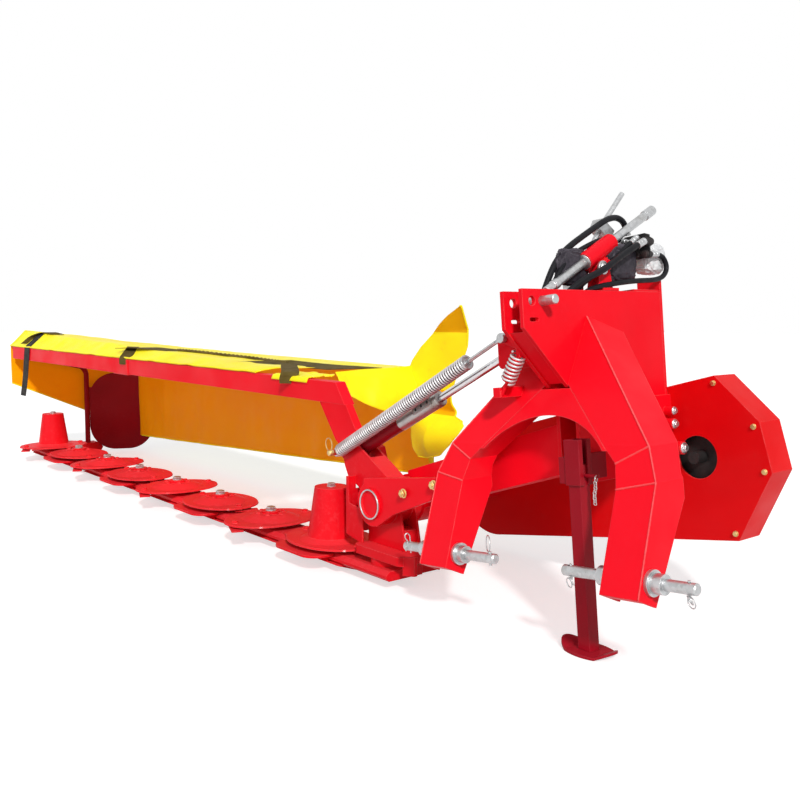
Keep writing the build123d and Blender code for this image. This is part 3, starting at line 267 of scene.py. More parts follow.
def rubber(name, colour, dust):
    """Rubber or dark film, with grime that lies on what looks up."""
    mat, tree, shader = new_material(name)
    grime = times(tree, clouds(tree, 30, 6, 0.7, 0.42, 0.75), 0.4)
    lying = times(tree, up_mask(tree, 0.2, 1.0), 0.35)
    dress(tree, shader, {"Base Color": mix(tree, plus(tree, grime, lying), colour, dust),
                         "Roughness": clouds(tree, 40, 4, 0.5, 0.3, 0.7, 0.38, 0.62),
                         "Specular IOR Level": 0.16})
    bump(tree, shader, noise_node(tree, 220, 3), 0.3, 0.0005)
    return mat


def webbing(name, colour, dust):
    """Woven band or rope: slanting threads and no gloss."""
    mat, tree, shader = new_material(name)
    dress(tree, shader, {"Base Color": mix(tree, clouds(tree, 14, 6, 0.7, 0.35, 0.75), colour, dust),
                         "Roughness": clouds(tree, 50, 3, 0.5, 0.3, 0.7, 0.7, 0.95),
                         "Specular IOR Level": 0.1})
    bump(tree, shader, wave(tree, "DIAGONAL", 120), 0.5, 0.0008)
    return mat


def pale_film(name):
    """Thin pale plastic, crumpled."""
    mat, tree, shader = new_material(name)
    tint = clouds(tree, 16, 6, 0.7, 0.3, 0.75, (0.86, 0.87, 0.88), (0.55, 0.56, 0.58))
    dress(tree, shader, {"Base Color": tint, "Roughness": clouds(tree, 30, 5, 0.5, 0.3, 0.7, 0.16, 0.45)})
    bump(tree, shader, noise_node(tree, 45, 6, 0.7), 0.7, 0.004)
    return mat


RED = paint("red_enamel", (0.92, 0.003, 0.015), (0.80, 0.002, 0.011), (0.82, 0.06, 0.09), 0.13)
# pale pink: partly real dust and partly a painted highlight on the lower parts and discs
RED_LOW_DUST_AND_SHEEN = paint("red_enamel_dust_and_highlight", (0.86, 0.004, 0.013), (0.64, 0.003, 0.010), (0.82, 0.12, 0.14), 0.36)
# painted shade: a darker copy of the red enamel for parts that stand in shade
SHADED_RED = paint("red_enamel_painted_shade", (0.34, 0.004, 0.014), (0.22, 0.003, 0.009), (0.40, 0.05, 0.07), 0.18,
                 edge=(0.5, 0.06, 0.08))
# painted shade: a darker copy of the red enamel for the guard's less lit front
DIMMED_GUARD_RED = paint("guard_enamel_painted_shade", (0.80, 0.002, 0.005), (0.68, 0.002, 0.004), (0.48, 0.07, 0.05), 0.16)
# painted highlight: pale pink enamel for the beads
SEAM_HIGHLIGHT_RED = paint("weld_enamel_painted_highlight", (0.92, 0.05, 0.06), (0.80, 0.02, 0.03), (0.90, 0.30, 0.30), 0.5, 0.24)
ZINC = metal("zinc_plate", (0.58, 0.59, 0.60), (0.34, 0.33, 0.31), 0.36, metallic=0.85, edge=(0.9, 0.9, 0.9))
GOLD_ZINC = metal("yellow_zinc", (0.80, 0.60, 0.26), (0.50, 0.34, 0.14), 0.36, 30)
STEEL = metal("ground_steel", (0.46, 0.45, 0.44), (0.22, 0.15, 0.11), 0.38, 14, 0.12, edge=(0.75, 0.74, 0.72))
CHROME = metal("hard_chrome", (0.70, 0.70, 0.72), (0.50, 0.48, 0.47), 0.20, 10, 0.06, (1, 1, 6))
COIL = metal("sprung_wire", (0.66, 0.64, 0.65), (0.44, 0.40, 0.39), 0.40, 30, 0.10, metallic=0.6)
# painted shade: darkened to near black so the input shaft in the guard's opening reads as a dark hole
CAST_SHADE_DARK = metal("cast_iron_painted_shade", (0.022, 0.018, 0.018), (0.05, 0.02, 0.018), 0.6, 20, 0.3, metallic=0.3)
BLACK = rubber("black_rubber", (0.014, 0.014, 0.016), (0.10, 0.09, 0.08))
HOSE = rubber("hydraulic_hose", (0.004, 0.004, 0.006), (0.012, 0.012, 0.015))
OLIVE = webbing("olive_webbing", (0.075, 0.052, 0.012), (0.16, 0.115, 0.035))
ROPE = webbing("twisted_rope", (0.10, 0.072, 0.02), (0.22, 0.16, 0.06))
BLACK_WEB = webbing("black_webbing", (0.016, 0.016, 0.018), (0.07, 0.065, 0.06))
# painted shade: a darker orange yellow for the flap's bands that lie in shade
FOLD_SHADE_YELLOW = canvas_material("tarpaulin_fold_painted_shade", (0.90, 0.46, 0.003), (0.82, 0.40, 0.003),
                              (0.60, 0.28, 0.01), 0.0, 0.03)
YELLOW = canvas_material("yellow_tarpaulin", (0.99, 0.88, 0.012), (0.96, 0.76, 0.008),
                         (0.80, 0.50, 0.03), 0.03, 0.07)
# painted shade: the inner face is a darker, more orange copy of the yellow, for the cloth's shaded side
AMBER_SHADE = canvas_material("tarpaulin_inside_painted_shade", (0.98, 0.40, 0.001), (0.92, 0.34, 0.001),
                        (0.66, 0.22, 0.004), 0.0, 0.12)
PALE = pale_film("crumpled_film")
DARK_FILM = rubber("dark_film", (0.028, 0.024, 0.032), (0.15, 0.13, 0.16))

DISC_COUNT = 8
FINISH = (
    # painted shade: these parts take the darker copy of the red
    (SHADED_RED, ("swath_board", "canopy_hoop", "stand_leg", "stand_foot", "stand_socket", "cylinder_barrel")),
    (RED_LOW_DUST_AND_SHEEN, ("cutterbar", "skid_shoes", "inner_shoe", "outer_shoe", "gearbox", "carrier", "carrier_bracket",
               *(f"disc_{k + 1}" for k in range(DISC_COUNT)))),
    (DIMMED_GUARD_RED, ("belt_guard",)),
    (ZINC, ("lower_link_pin_left", "lower_link_pin_right", "top_link_pin", "adjuster_tube", "valve_block")),
    (CHROME, ("cylinder_rod",)),
    # painted shade: the near-black input shaft darkens the guard's shaft opening
    (CAST_SHADE_DARK, ("input_shaft",)),
)  # the rest is red
for node in nodes.values():
    node.data.materials.clear()
    node.data.materials.append(RED)
for mat, names in FINISH:
    for name in names:
        nodes[name].data.materials[0] = mat


# ---------------------------------------------------------------- mesh tools
BEAD_STEP = 6.0


def linked(name, data):
    piece = bpy.data.objects.new(name, data)
    bpy.context.scene.collection.objects.link(piece)
    return piece


class Mesh:
    """Collects simple turned, bent and folded shapes into one piece."""

    def __init__(self):
        self.verts, self.faces, self.slots = [], [], []

    def add(self, verts, faces, slot=0):
        start = len(self.verts)
        self.verts += [Vector(v) for v in verts]
        self.faces += [tuple(start + i for i in f) for f in faces]
        self.slots += [slot] * len(faces)

    def turned(self, origin, axis, profile, sides=24, slot=0, flats=0, pipe=False):
        """profile: (distance along axis, radius) pairs in mm. flats: sides of a nut or bolt head.
        pipe: the profile closes on itself and leaves the middle open."""
        axis = Vector(axis).normalized()
        u = axis.orthogonal().normalized()
        v = axis.cross(u)
        count = flats or sides
        verts = []
        for along, radius in profile:
            for k in range(count):
                a = 2 * math.pi * (k + 0.5 * bool(flats)) / count
                verts.append(origin + (axis * along + (u * math.cos(a) + v * math.sin(a)) * radius) * MM)
        faces = []
        for ring in range(len(profile) - 1):
            for k in range(count):
                n = (k + 1) % count
                a, b = ring * count, (ring + 1) * count
                faces.append((a + k, a + n, b + n, b + k))
        last = (len(profile) - 1) * count
        if pipe:
            faces += [(last + k, last + (k + 1) % count, (k + 1) % count, k) for k in range(count)]
        else:
            faces.append(tuple(reversed(range(count))))
            faces.append(tuple(last + k for k in range(count)))
        self.add(verts, faces, slot)

    def bolt(self, origin, axis, size, slot=0, washer=True, length=0.0):
        """Hexagon head of a bolt of that thread size, on its washer."""
        across = size * 0.92
        base = 0.0
        if washer:
            self.turned(origin, axis, ((-1, size * 1.0), (1.6, size * 1.05), (2.0, size * 1.0)), 20, slot)
            base = 1.8
        self.turned(origin, axis, ((base - 1, across * 0.97), (base, across), (base + size * 0.55, across),
                                   (base + size * 0.66, across * 0.86)), slot=slot, flats=6)
        if length:
            tip = base + size * 0.6 + length
            self.turned(origin, axis, ((base + size * 0.5, size * 0.5), (tip, size * 0.5),
                                       (tip + size * 0.1, size * 0.4)), 14, slot)

    def tube(self, points, radius, sides=10, slot=0, closed=False):
        """A round bar along points, in the row's frame. radius in mm, or one for each point."""
        points = [Vector(p) for p in points]
        count = len(points)
        radii = radius if isinstance(radius, (list, tuple)) else [radius] * count
        verts, faces = [], []
        side = None
        for i, p in enumerate(points):
            before = points[i - 1] if i or closed else p
            after = points[(i + 1) % count] if i < count - 1 or closed else p
            along = (after - before).normalized()
            side = (along.orthogonal() if side is None else side - along * side.dot(along)).normalized()
            other = along.cross(side)
            for k in range(sides):
                a = 2 * math.pi * k / sides
                verts.append(p + (side * math.cos(a) + other * math.sin(a)) * radii[i] * MM)
        for i in range(count if closed else count - 1):
            j = (i + 1) % count
            for k in range(sides):
                n = (k + 1) % sides
                faces.append((i * sides + k, i * sides + n, j * sides + n, j * sides + k))
        if not closed:
            faces.append(tuple(reversed(range(sides))))
            faces.append(tuple((count - 1) * sides + k for k in range(sides)))
        self.add(verts, faces, slot)

    def bead(self, points, radius):
        """A bead along straight runs, its ripples a few millimetres apart, for weld seams and for a painted
        highlight line.
        """
        line = []
        for a, b in zip(points, points[1:]):
            n = max(2, int((b - a).length / (BEAD_STEP * MM)))
            line += [a.lerp(b, i / n) for i in range(n)]
        line.append(points[-1])
        radii = [radius * (0.86 + 0.2 * (i % 2) + 0.1 * math.sin(i * 1.7)) for i in range(len(line))]
        self.tube(line, radii, 8)

    def plate(self, outline, thickness, direction, slot=0):
        """A flat plate with that outline, thickened along direction by thickness in mm."""
        shift = Vector(direction).normalized() * thickness * MM
        n = len(outline)
        verts = [Vector(p) for p in outline] + [Vector(p) + shift for p in outline]
        faces = [tuple(reversed(range(n))), tuple(range(n, 2 * n))]
        faces += [(i, (i + 1) % n, n + (i + 1) % n, n + i) for i in range(n)]
        self.add(verts, faces, slot)

    def finish(self, name, body, materials, smooth=40.0, bevel=0.0):
        mesh = bpy.data.meshes.new(name)
        mesh.from_pydata(self.verts, [], self.faces)
        for mat in materials if isinstance(materials, (list, tuple)) else [materials]:
            mesh.materials.append(mat)
        for polygon, index in zip(mesh.polygons, self.slots):
            polygon.material_index = index
        work = bmesh.new()
        work.from_mesh(mesh)
        bmesh.ops.recalc_face_normals(work, faces=work.faces)
        work.to_mesh(mesh)
        work.free()
        mesh.shade_smooth()
        mesh.set_sharp_from_angle(angle=math.radians(smooth))
        piece = linked(name, mesh)
        if bevel:
            modifier = piece.modifiers.new("edges", "BEVEL")
            modifier.width = bevel * MM
            modifier.segments = 2
            modifier.limit_method = "ANGLE"
        if body:
            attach(piece, body)
        return piece


def circle(origin, axis, radius, count):
    """Points of a circle about axis, radius in mm."""
    axis = Vector(axis).normalized()
    u = axis.orthogonal().normalized()
    v = axis.cross(u)
    turns = (2 * math.pi * k / count for k in range(count))
    return [origin + (u * math.cos(a) + v * math.sin(a)) * radius * MM for a in turns]


def smooth_line(points, steps=8):
    """Catmull-Rom curve through points."""
    points = [Vector(p) for p in points]
    ends = [points[0] * 2 - points[1], *points, points[-1] * 2 - points[-2]]
    line = []
    for a, b, c, d in zip(ends, ends[1:], ends[2:], ends[3:]):
        for k in range(steps):
            t = k / steps
            line.append(0.5 * ((2 * b) + (c - a) * t + (2 * a - 5 * b + 4 * c - d) * t * t
                               + (3 * b - a - 3 * c + d) * t ** 3))
    line.append(points[-1])
    return line


# ---------------------------------------------------------------- canopy: one tarpaulin over the frame
TUBE_TOP_Z = 656.3
CANOPY_TIP_X, CANOPY_INNER_X, CANOPY_REAR_INNER_X = -3960.0, -1205.0, -1058.0
CROWN = ((-85.0, 660.0), (-60.0, 683.0), (0.0, 745.0), (60.0, 741.0), (180.0, 729.0), (290.0, 714.0),
         (400.0, 697.0), (505.0, 680.0), (585.0, 664.0), (618.0, 650.0))  # Y, Z at the outer end
FLAT = (660.0, 664.0, 667.0, 666.0, 664.0, 662.0, 660.0, 659.0, 657.0, 649.0)  # Z at the inner end
SKIRT_TIP_X = -3795.0
HEM_TIP_Z, HEM_INNER_Z = 99.0, 241.0
END_LOW = ((-85.0, 445.0), (334.0, 263.0), (618.0, 150.0))  # lower edge of the end panel
SHEET = 2.0


def between(table, y):
    """Height of a broken line at y."""
    for (y0, z0), (y1, z1) in zip(table, table[1:]):
        if y <= y1:
            return z0 + (z1 - z0) * (y - y0) / (y1 - y0)
    return table[-1][1]


def folds(x, y, z, size, scale):
    return noise.noise(Vector((x, y, z)) * MM * scale) * size


def canopy_profile(t):
    """Y and the outer and inner heights across the canopy, t from 0 at the tube to 1 at the rear edge."""
    place = t * (len(CROWN) - 1)
    i = min(int(place), len(CROWN) - 2)
    k = place - i
    (y0, z0), (y1, z1) = CROWN[i], CROWN[i + 1]
    return y0 + (y1 - y0) * k, z0 + (z1 - z0) * k, FLAT[i] + (FLAT[i + 1] - FLAT[i]) * k


def cloth(name, mesh):
    """A surface made into cloth of some thickness, yellow outside and amber inside; the amber inside is
    painted shade.
    """
    mesh.materials.append(YELLOW)
    mesh.materials.append(AMBER_SHADE)
    mesh.shade_smooth()
    piece = linked(name, mesh)
    thick = piece.modifiers.new("cloth", "SOLIDIFY")
    thick.thickness = SHEET * MM
    thick.offset = 0
    thick.material_offset = 1
    bpy.context.view_layer.update()
    graph = bpy.context.evaluated_depsgraph_get()
    made = bpy.data.meshes.new_from_object(piece.evaluated_get(graph))
    piece.modifiers.clear()
    piece.data = made
    return piece


def grid_of(point, rows, columns):
    """Rows of points from point(share along the rows, share across them)."""
    return [[at(*point(i / rows, j / columns)) for j in range(columns + 1)] for i in range(rows + 1)]


def sheet_piece(name, grid, replaces=()):
    """Cloth from rows of points, on the cutting unit."""
    columns = len(grid[0])
    faces = [(k, k + columns, k + columns + 1, k + 1) for i in range(len(grid) - 1)
             for k in range(i * columns, (i + 1) * columns - 1)]
    mesh = bpy.data.meshes.new(name)
    mesh.from_pydata([p for row in grid for p in row], [], faces)
    piece = cloth(name, mesh)
    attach(piece, "cutting_unit")
    for node in replaces:
        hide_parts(node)
    return piece


def canopy_x(u, t):
    """X along the top, u from 0 at the inner end to 1 at the tip; the rear part reaches farther in."""
    y = canopy_profile(t)[0]
    inner = CANOPY_INNER_X + (CANOPY_REAR_INNER_X - CANOPY_INNER_X) * min(1.0, max(0.0, (y - 280) / 90))
    return inner + (CANOPY_TIP_X - inner) * u


TOP_COLUMNS, TOP_ROWS, DOWN_ROWS, SKIRT_ROWS = 56, 120, 34, 34


def top_point(u, t):
    y, z_out, z_in = canopy_profile(t)
    x = canopy_x(u, t)
    share = min(1.0, max(0.0, (CANOPY_REAR_INNER_X - x) / (CANOPY_REAR_INNER_X - CANOPY_TIP_X)))
    z = z_in + (z_out - z_in) * share
    middle = math.sin(math.pi * min(1.0, max(0.0, (y + 85) / 705)))
    z += folds(x, y * 0.5, 0, 9, 3.2) * middle + folds(x, y, 50, 3.5, 14) * middle
    z += max(0.0, folds(x * 1.5, y * 0.2, 9, 9, 6)) * math.exp(-((y + 40) / 60) ** 2)
    if z < TUBE_TOP_Z + 2.4 and y < 60:
        z = TUBE_TOP_Z + 2.4
    return x, y, z


def drop_point(t, k):
    """The end panel: down from the tip edge of the top."""
    x, y, z = top_point(1.0, t)
    low = between(END_LOW, y)
    round_off = 16.0 * math.sin(min(1.0, k * 8) * math.pi / 2)
    height = z + (low - z) * k
    out = folds(0, y, height, 7, 5) * math.sin(math.pi * k) - 6 * math.sin(math.pi * k)
    return x - round_off * 0.25 + 3 + out * 0.5, y, height


def skirt_point(x, k, y, z):
    """The rear skirt: down from the rear edge of the top."""
    share = (CANOPY_REAR_INNER_X - x) / (CANOPY_REAR_INNER_X - SKIRT_TIP_X)
    hem = HEM_INNER_Z + (HEM_TIP_Z - HEM_INNER_Z) * min(1.0, max(0.0, share))
    height = z + (hem - z) * k
    swell = (folds(x, 0, height * 0.25, 26, 2.6) + folds(x, 3, height * 0.3, 13, 8)) * min(1.0, k * 1.6)
    return x, y - abs(swell) * 0.8 + 1, height


def build_canopy():
    """Top, end panel and rear skirt as one sheet: columns run across it, rows along it."""
    mesh = bmesh.new()
    top = [[mesh.verts.new(at(*top_point(i / TOP_ROWS, j / TOP_COLUMNS))) for j in range(TOP_COLUMNS + 1)]
           for i in range(TOP_ROWS + 1)]
    down = [top[-1]]
    for k in range(1, DOWN_ROWS + 1):
        down.append([mesh.verts.new(at(*drop_point(j / TOP_COLUMNS, k / DOWN_ROWS)))
                     for j in range(TOP_COLUMNS + 1)])
    edge = [(row[-1], top_point(i / TOP_ROWS, 1.0)) for i, row in enumerate(top)]
    edge = [(v, p) for v, p in edge if p[0] >= SKIRT_TIP_X]
    skirt = [[v for v, p in edge]]
    for k in range(1, SKIRT_ROWS + 1):
        skirt.append([mesh.verts.new(at(*skirt_point(p[0], k / SKIRT_ROWS, p[1], p[2]))) for v, p in edge])
    for grid, flip in ((top, False), (down, False), (skirt, True)):
        for a, b in zip(grid, grid[1:]):
            for j in range(len(a) - 1):
                quad = (a[j], a[j + 1], b[j + 1], b[j])
                mesh.faces.new(tuple(reversed(quad)) if flip else quad)
    bmesh.ops.recalc_face_normals(mesh, faces=mesh.faces)
    if sum(f.normal.z for f in mesh.faces) < 0:
        bmesh.ops.reverse_faces(mesh, faces=mesh.faces)
    area = sum(f.calc_area() for f in mesh.faces)
    data = bpy.data.meshes.new("canopy_sheet")
    mesh.to_mesh(data)
    mesh.free()
    piece = cloth("canopy_sheet", data)
    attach(piece, "cutting_unit")
    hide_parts("canvas_top", "canvas_rear", "canvas_end")
    return piece, area


canopy, canopy_area = build_canopy()


def hem_line(points, radius, name):
    mesh = Mesh()
    mesh.tube([at(*p) for p in points], radius, 8)
    return mesh.finish(name, "cutting_unit", YELLOW, 80)


HEM_STEPS = [i / 90 for i in range(91)]
rear_edge = [top_point(u, 1.0) for u in HEM_STEPS]
hem = hem_line([skirt_point(x, 1.0, y, z) for x, y, z in rear_edge if x >= SKIRT_TIP_X], 4.0, "canopy_hem")
end_hem = hem_line([drop_point(t, 1.0) for t in HEM_STEPS], 4.0, "canopy_end_hem")
front_edge = [top_point(u, 0.0) for u in HEM_STEPS]
front_roll = hem_line([(x, y - 1, z + 1.5) for x, y, z in front_edge], 4.2, "canopy_front_roll")
tip_edge = [top_point(1.0, t) for t in HEM_STEPS]
tip_seam = hem_line([(x - 1.5, y, z + 1) for x, y, z in tip_edge], 3.2, "canopy_tip_seam")

# flap that closes the canopy's inner end, beside the cylinder
FLAP_LEFT = ((334, -1000), (345, -1012), (367, -1036), (405, -1049), (477, -1052), (559, -1058), (634, -1071),
             (693, -1042), (742, -1000), (791, -940), (830, -888), (862, -838), (883, -796),
             (894, -772))  # Z, X
FLAP_RIGHT = ((334, -955), (355, -870), (402, -803), (444, -766), (470, -761), (484, -792), (494, -840),
              (521, -846), (573, -846), (649, -816), (704, -786), (754, -768), (796, -766), (855, -764),
              (894, -764))
FLAP_LOW_Z, FLAP_TOP_Z = FLAP_LEFT[0][0], FLAP_LEFT[-1][0]
FLAP_Y, POCKET_Z, PEAK_Z = 500.0, 484.0, 802.0


def flap_y(x, z):
    """The flap rolls forward in a pocket at its foot, leans back over it, and its peak folds forward."""
    share = min(1.0, max(0.0, (x + 1050) / 120))
    pocket = -46 * share * math.sin(math.pi * max(0.0, min(1.0, (z - 330) / (POCKET_Z - 330)))) ** 0.7
    back = 26 * math.exp(-((z - POCKET_Z - 26) / 24) ** 2) * share
    peak = -0.42 * max(0.0, z - PEAK_Z - (x + 850) * 0.12)
    lean = max(-10.0, min(12.0, (x + 960) * 0.08))
    return FLAP_Y + lean + pocket + back + peak + folds(x, 0, z, 9, 8)


def flap_point(u, k):
    z = FLAP_LOW_Z + (FLAP_TOP_Z - FLAP_LOW_Z) * k
    left = between(FLAP_LEFT, z)
    x = left + (between(FLAP_RIGHT, z) - left) * u
    return x, flap_y(x, z), z


flap_grid = grid_of(flap_point, 40, 90)
flap = sheet_piece("canopy_flap", flap_grid, ("canvas_flap",))
flap.data.materials.append(FOLD_SHADE_YELLOW)
# painted shade: the flap's peak and the band above its pocket take the darker fold yellow
for face in flap.data.polygons:
    height = face.center.z / MM
    if height > PEAK_Z or POCKET_Z + 10 < height < 590:
        face.material_index = 2
edge_points = ([row[-1] for row in flap_grid] + list(reversed(flap_grid[-1]))[1:]
               + [row[0] for row in reversed(flap_grid)][1:])
flap_edge = Mesh()
flap_edge.tube(edge_points, 3.2, 8)
flap_piping = flap_edge.finish("canopy_flap_piping", "cutting_unit", YELLOW, 80)

# lap of the canopy over the tube, up to its elbow
LAP_EDGE = ((-88, -882), (20, -888), (38, -905))  # Y, X
LAP_X, LAP_FRONT_Y, LAP_DEPTH = -1096, -90, 128


def lap_point(u, k):
    y = LAP_FRONT_Y + LAP_DEPTH * k
    x = LAP_X + (between(LAP_EDGE, y) - LAP_X) * u
    crease = abs(folds(x * 1.6, y * 2.2, 0, 11, 12)) + abs(folds(x, y * 3, 4, 5, 30))
    over = max(0.0, (-78 - y) / 12)
    return x, y, TUBE_TOP_Z + 2.6 + crease * (1 - over) - 14 * over ** 2


lap_grid = grid_of(lap_point, 30, 40)
lap = sheet_piece("canopy_lap", lap_grid)

# curtain that hangs from the canopy's inner edge, from the tube back to the flap
CURTAIN_TOP = ((-1092, 174, 657), (-1092, 230, 659), (-1092, 290, 662), (-1060, 340, 665), (-1045, 420, 668),
               (-1046, 495, 672))
CURTAIN_LOW = ((-1066, 176, 596), (-1044, 206, 572), (-1012, 250, 545), (-992, 320, 515), (-996, 400, 492),
               (-1020, 492, 478))


CURTAIN_STEPS = 24
curtain_grid = []
for top, low in zip(smooth_line(CURTAIN_TOP), smooth_line(CURTAIN_LOW)):
    line = []
    for j in range(CURTAIN_STEPS + 1):
        p = low.lerp(top, j / CURTAIN_STEPS)
        swell = 10 * math.sin(math.pi * j / CURTAIN_STEPS) + folds(p.x * 0.3, p.y * 1.5, p.z, 15, 11)
        p.x += swell * min(1.0, (CURTAIN_STEPS - j) / 5)
        line.append(at(*p))
    curtain_grid.append(line)
curtain = sheet_piece("canopy_curtain", curtain_grid)


def gusset_point(u, k):
    """From the flap's edge back to the rear skirt, its foot falling as it goes."""
    y, low = 499 + 118 * u, 468 - 218 * u
    z = low + (652 - low) * k
    return -1060 + 5 * math.sin(math.pi * u) + folds(0, y, z, 3, 9), y, z


gusset = sheet_piece("canopy_gusset", grid_of(gusset_point, 12, 30), ("canvas_gusset",))


# ---------------------------------------------------------------- straps over the canopy
BAND = 2.4


def band(name, path, width, across, material, replaces=()):
    """Flat webbing along a path of points, its width along the vector across."""
    mesh = Mesh()
    line = smooth_line([at(*p) for p in path], 6)
    side = Vector(across).normalized() * width * MM / 2
    verts, faces = [], []
    for i, p in enumerate(line):
        along = (line[min(i + 1, len(line) - 1)] - line[max(i - 1, 0)]).normalized()
        normal = along.cross(side).normalized() * BAND * MM / 2
        verts += [p - side - normal, p + side - normal, p + side + normal, p - side + normal]
    for a in range(0, 4 * (len(line) - 1), 4):
        faces += [(a + k, a + (k + 1) % 4, a + 4 + (k + 1) % 4, a + 4 + k) for k in range(4)]
    faces += [(3, 2, 1, 0), tuple(len(verts) - 4 + k for k in range(4))]
    mesh.add(verts, faces)
    piece = mesh.finish(name, "cutting_unit", material)
    for node in replaces:
        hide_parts(node)


def over_canopy(x, y, lift=3.5):
    """A point lying on the canopy."""
    for j in range(400):
        t = j / 400
        if canopy_profile(t)[0] >= y:
            break
    inner = canopy_x(0, t)
    u = (x - inner) / (CANOPY_TIP_X - inner)
    return x, y, top_point(max(0.0, min(1.0, u)), t)[2] + lift


band("outer_strap", [(-3752, -88.5, 386), (-3704, -89, 490), (-3662, -88.5, 640), (-3658, -84, 664),
                     over_canopy(-3655, -50, 4), over_canopy(-3650, -10, 4)],
     84, (1, 0, 0), BLACK_WEB, replaces=("canvas_straps",))
band("outer_band", [over_canopy(-3730, -70, 5), over_canopy(-3700, -25, 5), over_canopy(-3600, 10, 5),
                    over_canopy(-3480, 24, 5)], 60, (0.3, 1, 0), OLIVE)
band("middle_strap", [(-2319, -88, 632), (-2319, -88.5, 648), (-2322, -84, 664),
                      over_canopy(-2370, -45), over_canopy(-2423, -5)], 80, (1, 0.3, 0), OLIVE)
band("middle_band", [over_canopy(-2450, -20), over_canopy(-2330, 8), over_canopy(-2230, 38),
                     over_canopy(-2110, 66)], 112, (0.3, 1, 0), OLIVE)
band("inner_strap", [(-985, -92, 636), (-985, -92.5, 654), (-988, -84, 672), (-1060, -38, 676),
                     over_canopy(-1240, 74), over_canopy(-1400, 176)], 60, (0.55, 0.83, 0), OLIVE)
# a dark olive sheet 220 mm wide lying over the canopy's inner part
band("inner_dark_patch", [over_canopy(-1500, 130), over_canopy(-1400, 165), over_canopy(-1300, 205),
                    over_canopy(-1200, 245), over_canopy(-1115, 280)], 220, (0.2, 1, 0), OLIVE)
STRAND_R = 3.4
rope = Mesh()
rope_line = smooth_line([at(*over_canopy(x, y, 7)) for x, y in (
    (-2115, 66), (-1980, 90), (-1800, 120), (-1640, 146), (-1500, 170), (-1415, 182))], 24)
for strand in range(3):
    turns = [i * 0.55 + strand * 2.094 for i in range(len(rope_line))]
    rope.tube([p + Vector((0, math.cos(a), math.sin(a))) * STRAND_R * MM for p, a in zip(rope_line, turns)],
              STRAND_R, 6)
rope.finish("strap_rope", "cutting_unit", ROPE, 80)

# ---------------------------------------------------------------- balance spring
SPRING_Y = 70.0
SPRING_LOW, SPRING_HIGH = (-932.0, 398.0), (-169.0, 805.0)
COIL_END, COIL_R, WIRE_R, COIL_PITCH = 712.0, 19.6, 3.2, 10.6
spring_low = at(SPRING_LOW[0], SPRING_Y, SPRING_LOW[1])
spring_high = at(SPRING_HIGH[0], SPRING_Y, SPRING_HIGH[1])
spring_dir = (spring_high - spring_low).normalized()
spring_length = (spring_high - spring_low).length / MM


def on_spring(along, rear=0.0):
    """A point along the balance spring from its lower eye, and rearward of its line, in mm."""
    return spring_low + (spring_dir * along + Vector((0, rear, 0))) * MM


def helix(start, direction, first, last, radius, pitch, steps):
    """Points of a coil about a line, distances in mm."""
    side = direction.orthogonal().normalized()
    other = direction.cross(side)
    turns = (last - first) / pitch
    count = int(turns * steps)
    points = []
    for i in range(count + 1):
        a = 2 * math.pi * i / steps
        along = first + (last - first) * i / count
        spoke = side * math.cos(a) + other * math.sin(a)
        points.append(start + (direction * along + spoke * radius) * MM)
    return points


coil = Mesh()
coil.tube(helix(spring_low, spring_dir, 16, COIL_END - 4, COIL_R, COIL_PITCH, 16), WIRE_R, 8)
coil_piece = coil.finish("balance_coil", None, COIL, 80)
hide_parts("balance_spring")
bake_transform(coil_piece)

low_end = Mesh()
low_end.turned(spring_low, spring_dir, ((-3, 9), (4, 12), (12, 20), (17, 22.4), (22, 22), (26, 12)), 28)
low_end.turned(on_spring(0, -9), (0, 1, 0), ((0, 14), (2, 15.5), (16, 15.5), (18, 14)), 28)
low_end.turned(spring_low, spring_dir, ((25, 15.2), (345, 15.2), (345, 14.2), (25, 14.2)), 20, 1, pipe=True)
low_end.finish("balance_spring_eye", "balance_spring", [ZINC, CAST_SHADE_DARK], 35)
top_end = Mesh()
top_end.turned(spring_low, spring_dir, ((COIL_END - 8, 15), (COIL_END - 7, 21.8), (COIL_END - 1, 22.6),
                                        (COIL_END + 1, 22), (COIL_END + 1.2, 17), (COIL_END - 4, 15.5),
                                        (COIL_END - 4, 7)), 32)
top_end.turned(spring_low, spring_dir, ((384, 12.8), (COIL_END - 8, 12.8)), 20, slot=1)
top_end.tube([on_spring(d) for d in (600, COIL_END, 740, 800, spring_length - 16)], 6.0, 12)
for side in (-7, 7):
    top_end.tube([on_spring(COIL_END + 12, side * 0.7), on_spring(COIL_END + 60, side),
                  on_spring(spring_length - 24, side)], 3.4, 10)
top_end.turned(on_spring(spring_length, -9), (0, 1, 0), ((0, 13), (2, 14), (13, 14), (15, 13)), 24)
link_piece = top_end.finish("spring_link_rods", "spring_link", [ZINC, CAST_SHADE_DARK], 35)
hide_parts("spring_link")

ring = Mesh()
ring_centre = at(SPRING_LOW[0] - 6, SPRING_Y - 33, SPRING_LOW[1] + 28)
ring.tube(circle(ring_centre, (0.12, 1, 0.05), 22, 30), 1.9, 8, closed=True)
ring.turned(at(SPRING_LOW[0], SPRING_Y - 34, SPRING_LOW[1]), (0, 1, 0),
            ((-6, 8.4), (-4, 10.2), (12, 10.2)), 20)
ring.finish("linch_ring_spring", "cutting_unit", GOLD_ZINC, 50)

# short spring on the mast, over its CAD core
SHORT_Y, SHORT_TOP, SHORT_LOW = 60.0, (-47.0, 696.0), (-93.0, 629.0)
short_top, short_low = head(SHORT_TOP[0], SHORT_Y, SHORT_TOP[1]), head(SHORT_LOW[0], SHORT_Y, SHORT_LOW[1])
short_dir = (short_low - short_top).normalized()
short_length = (short_low - short_top).length / MM
short = Mesh()
short.tube(helix(short_top, short_dir, -2, short_length + 2, 19.0, 11.0, 18), 3.2, 8)
short.finish("short_coil", "headstock", COIL, 80)

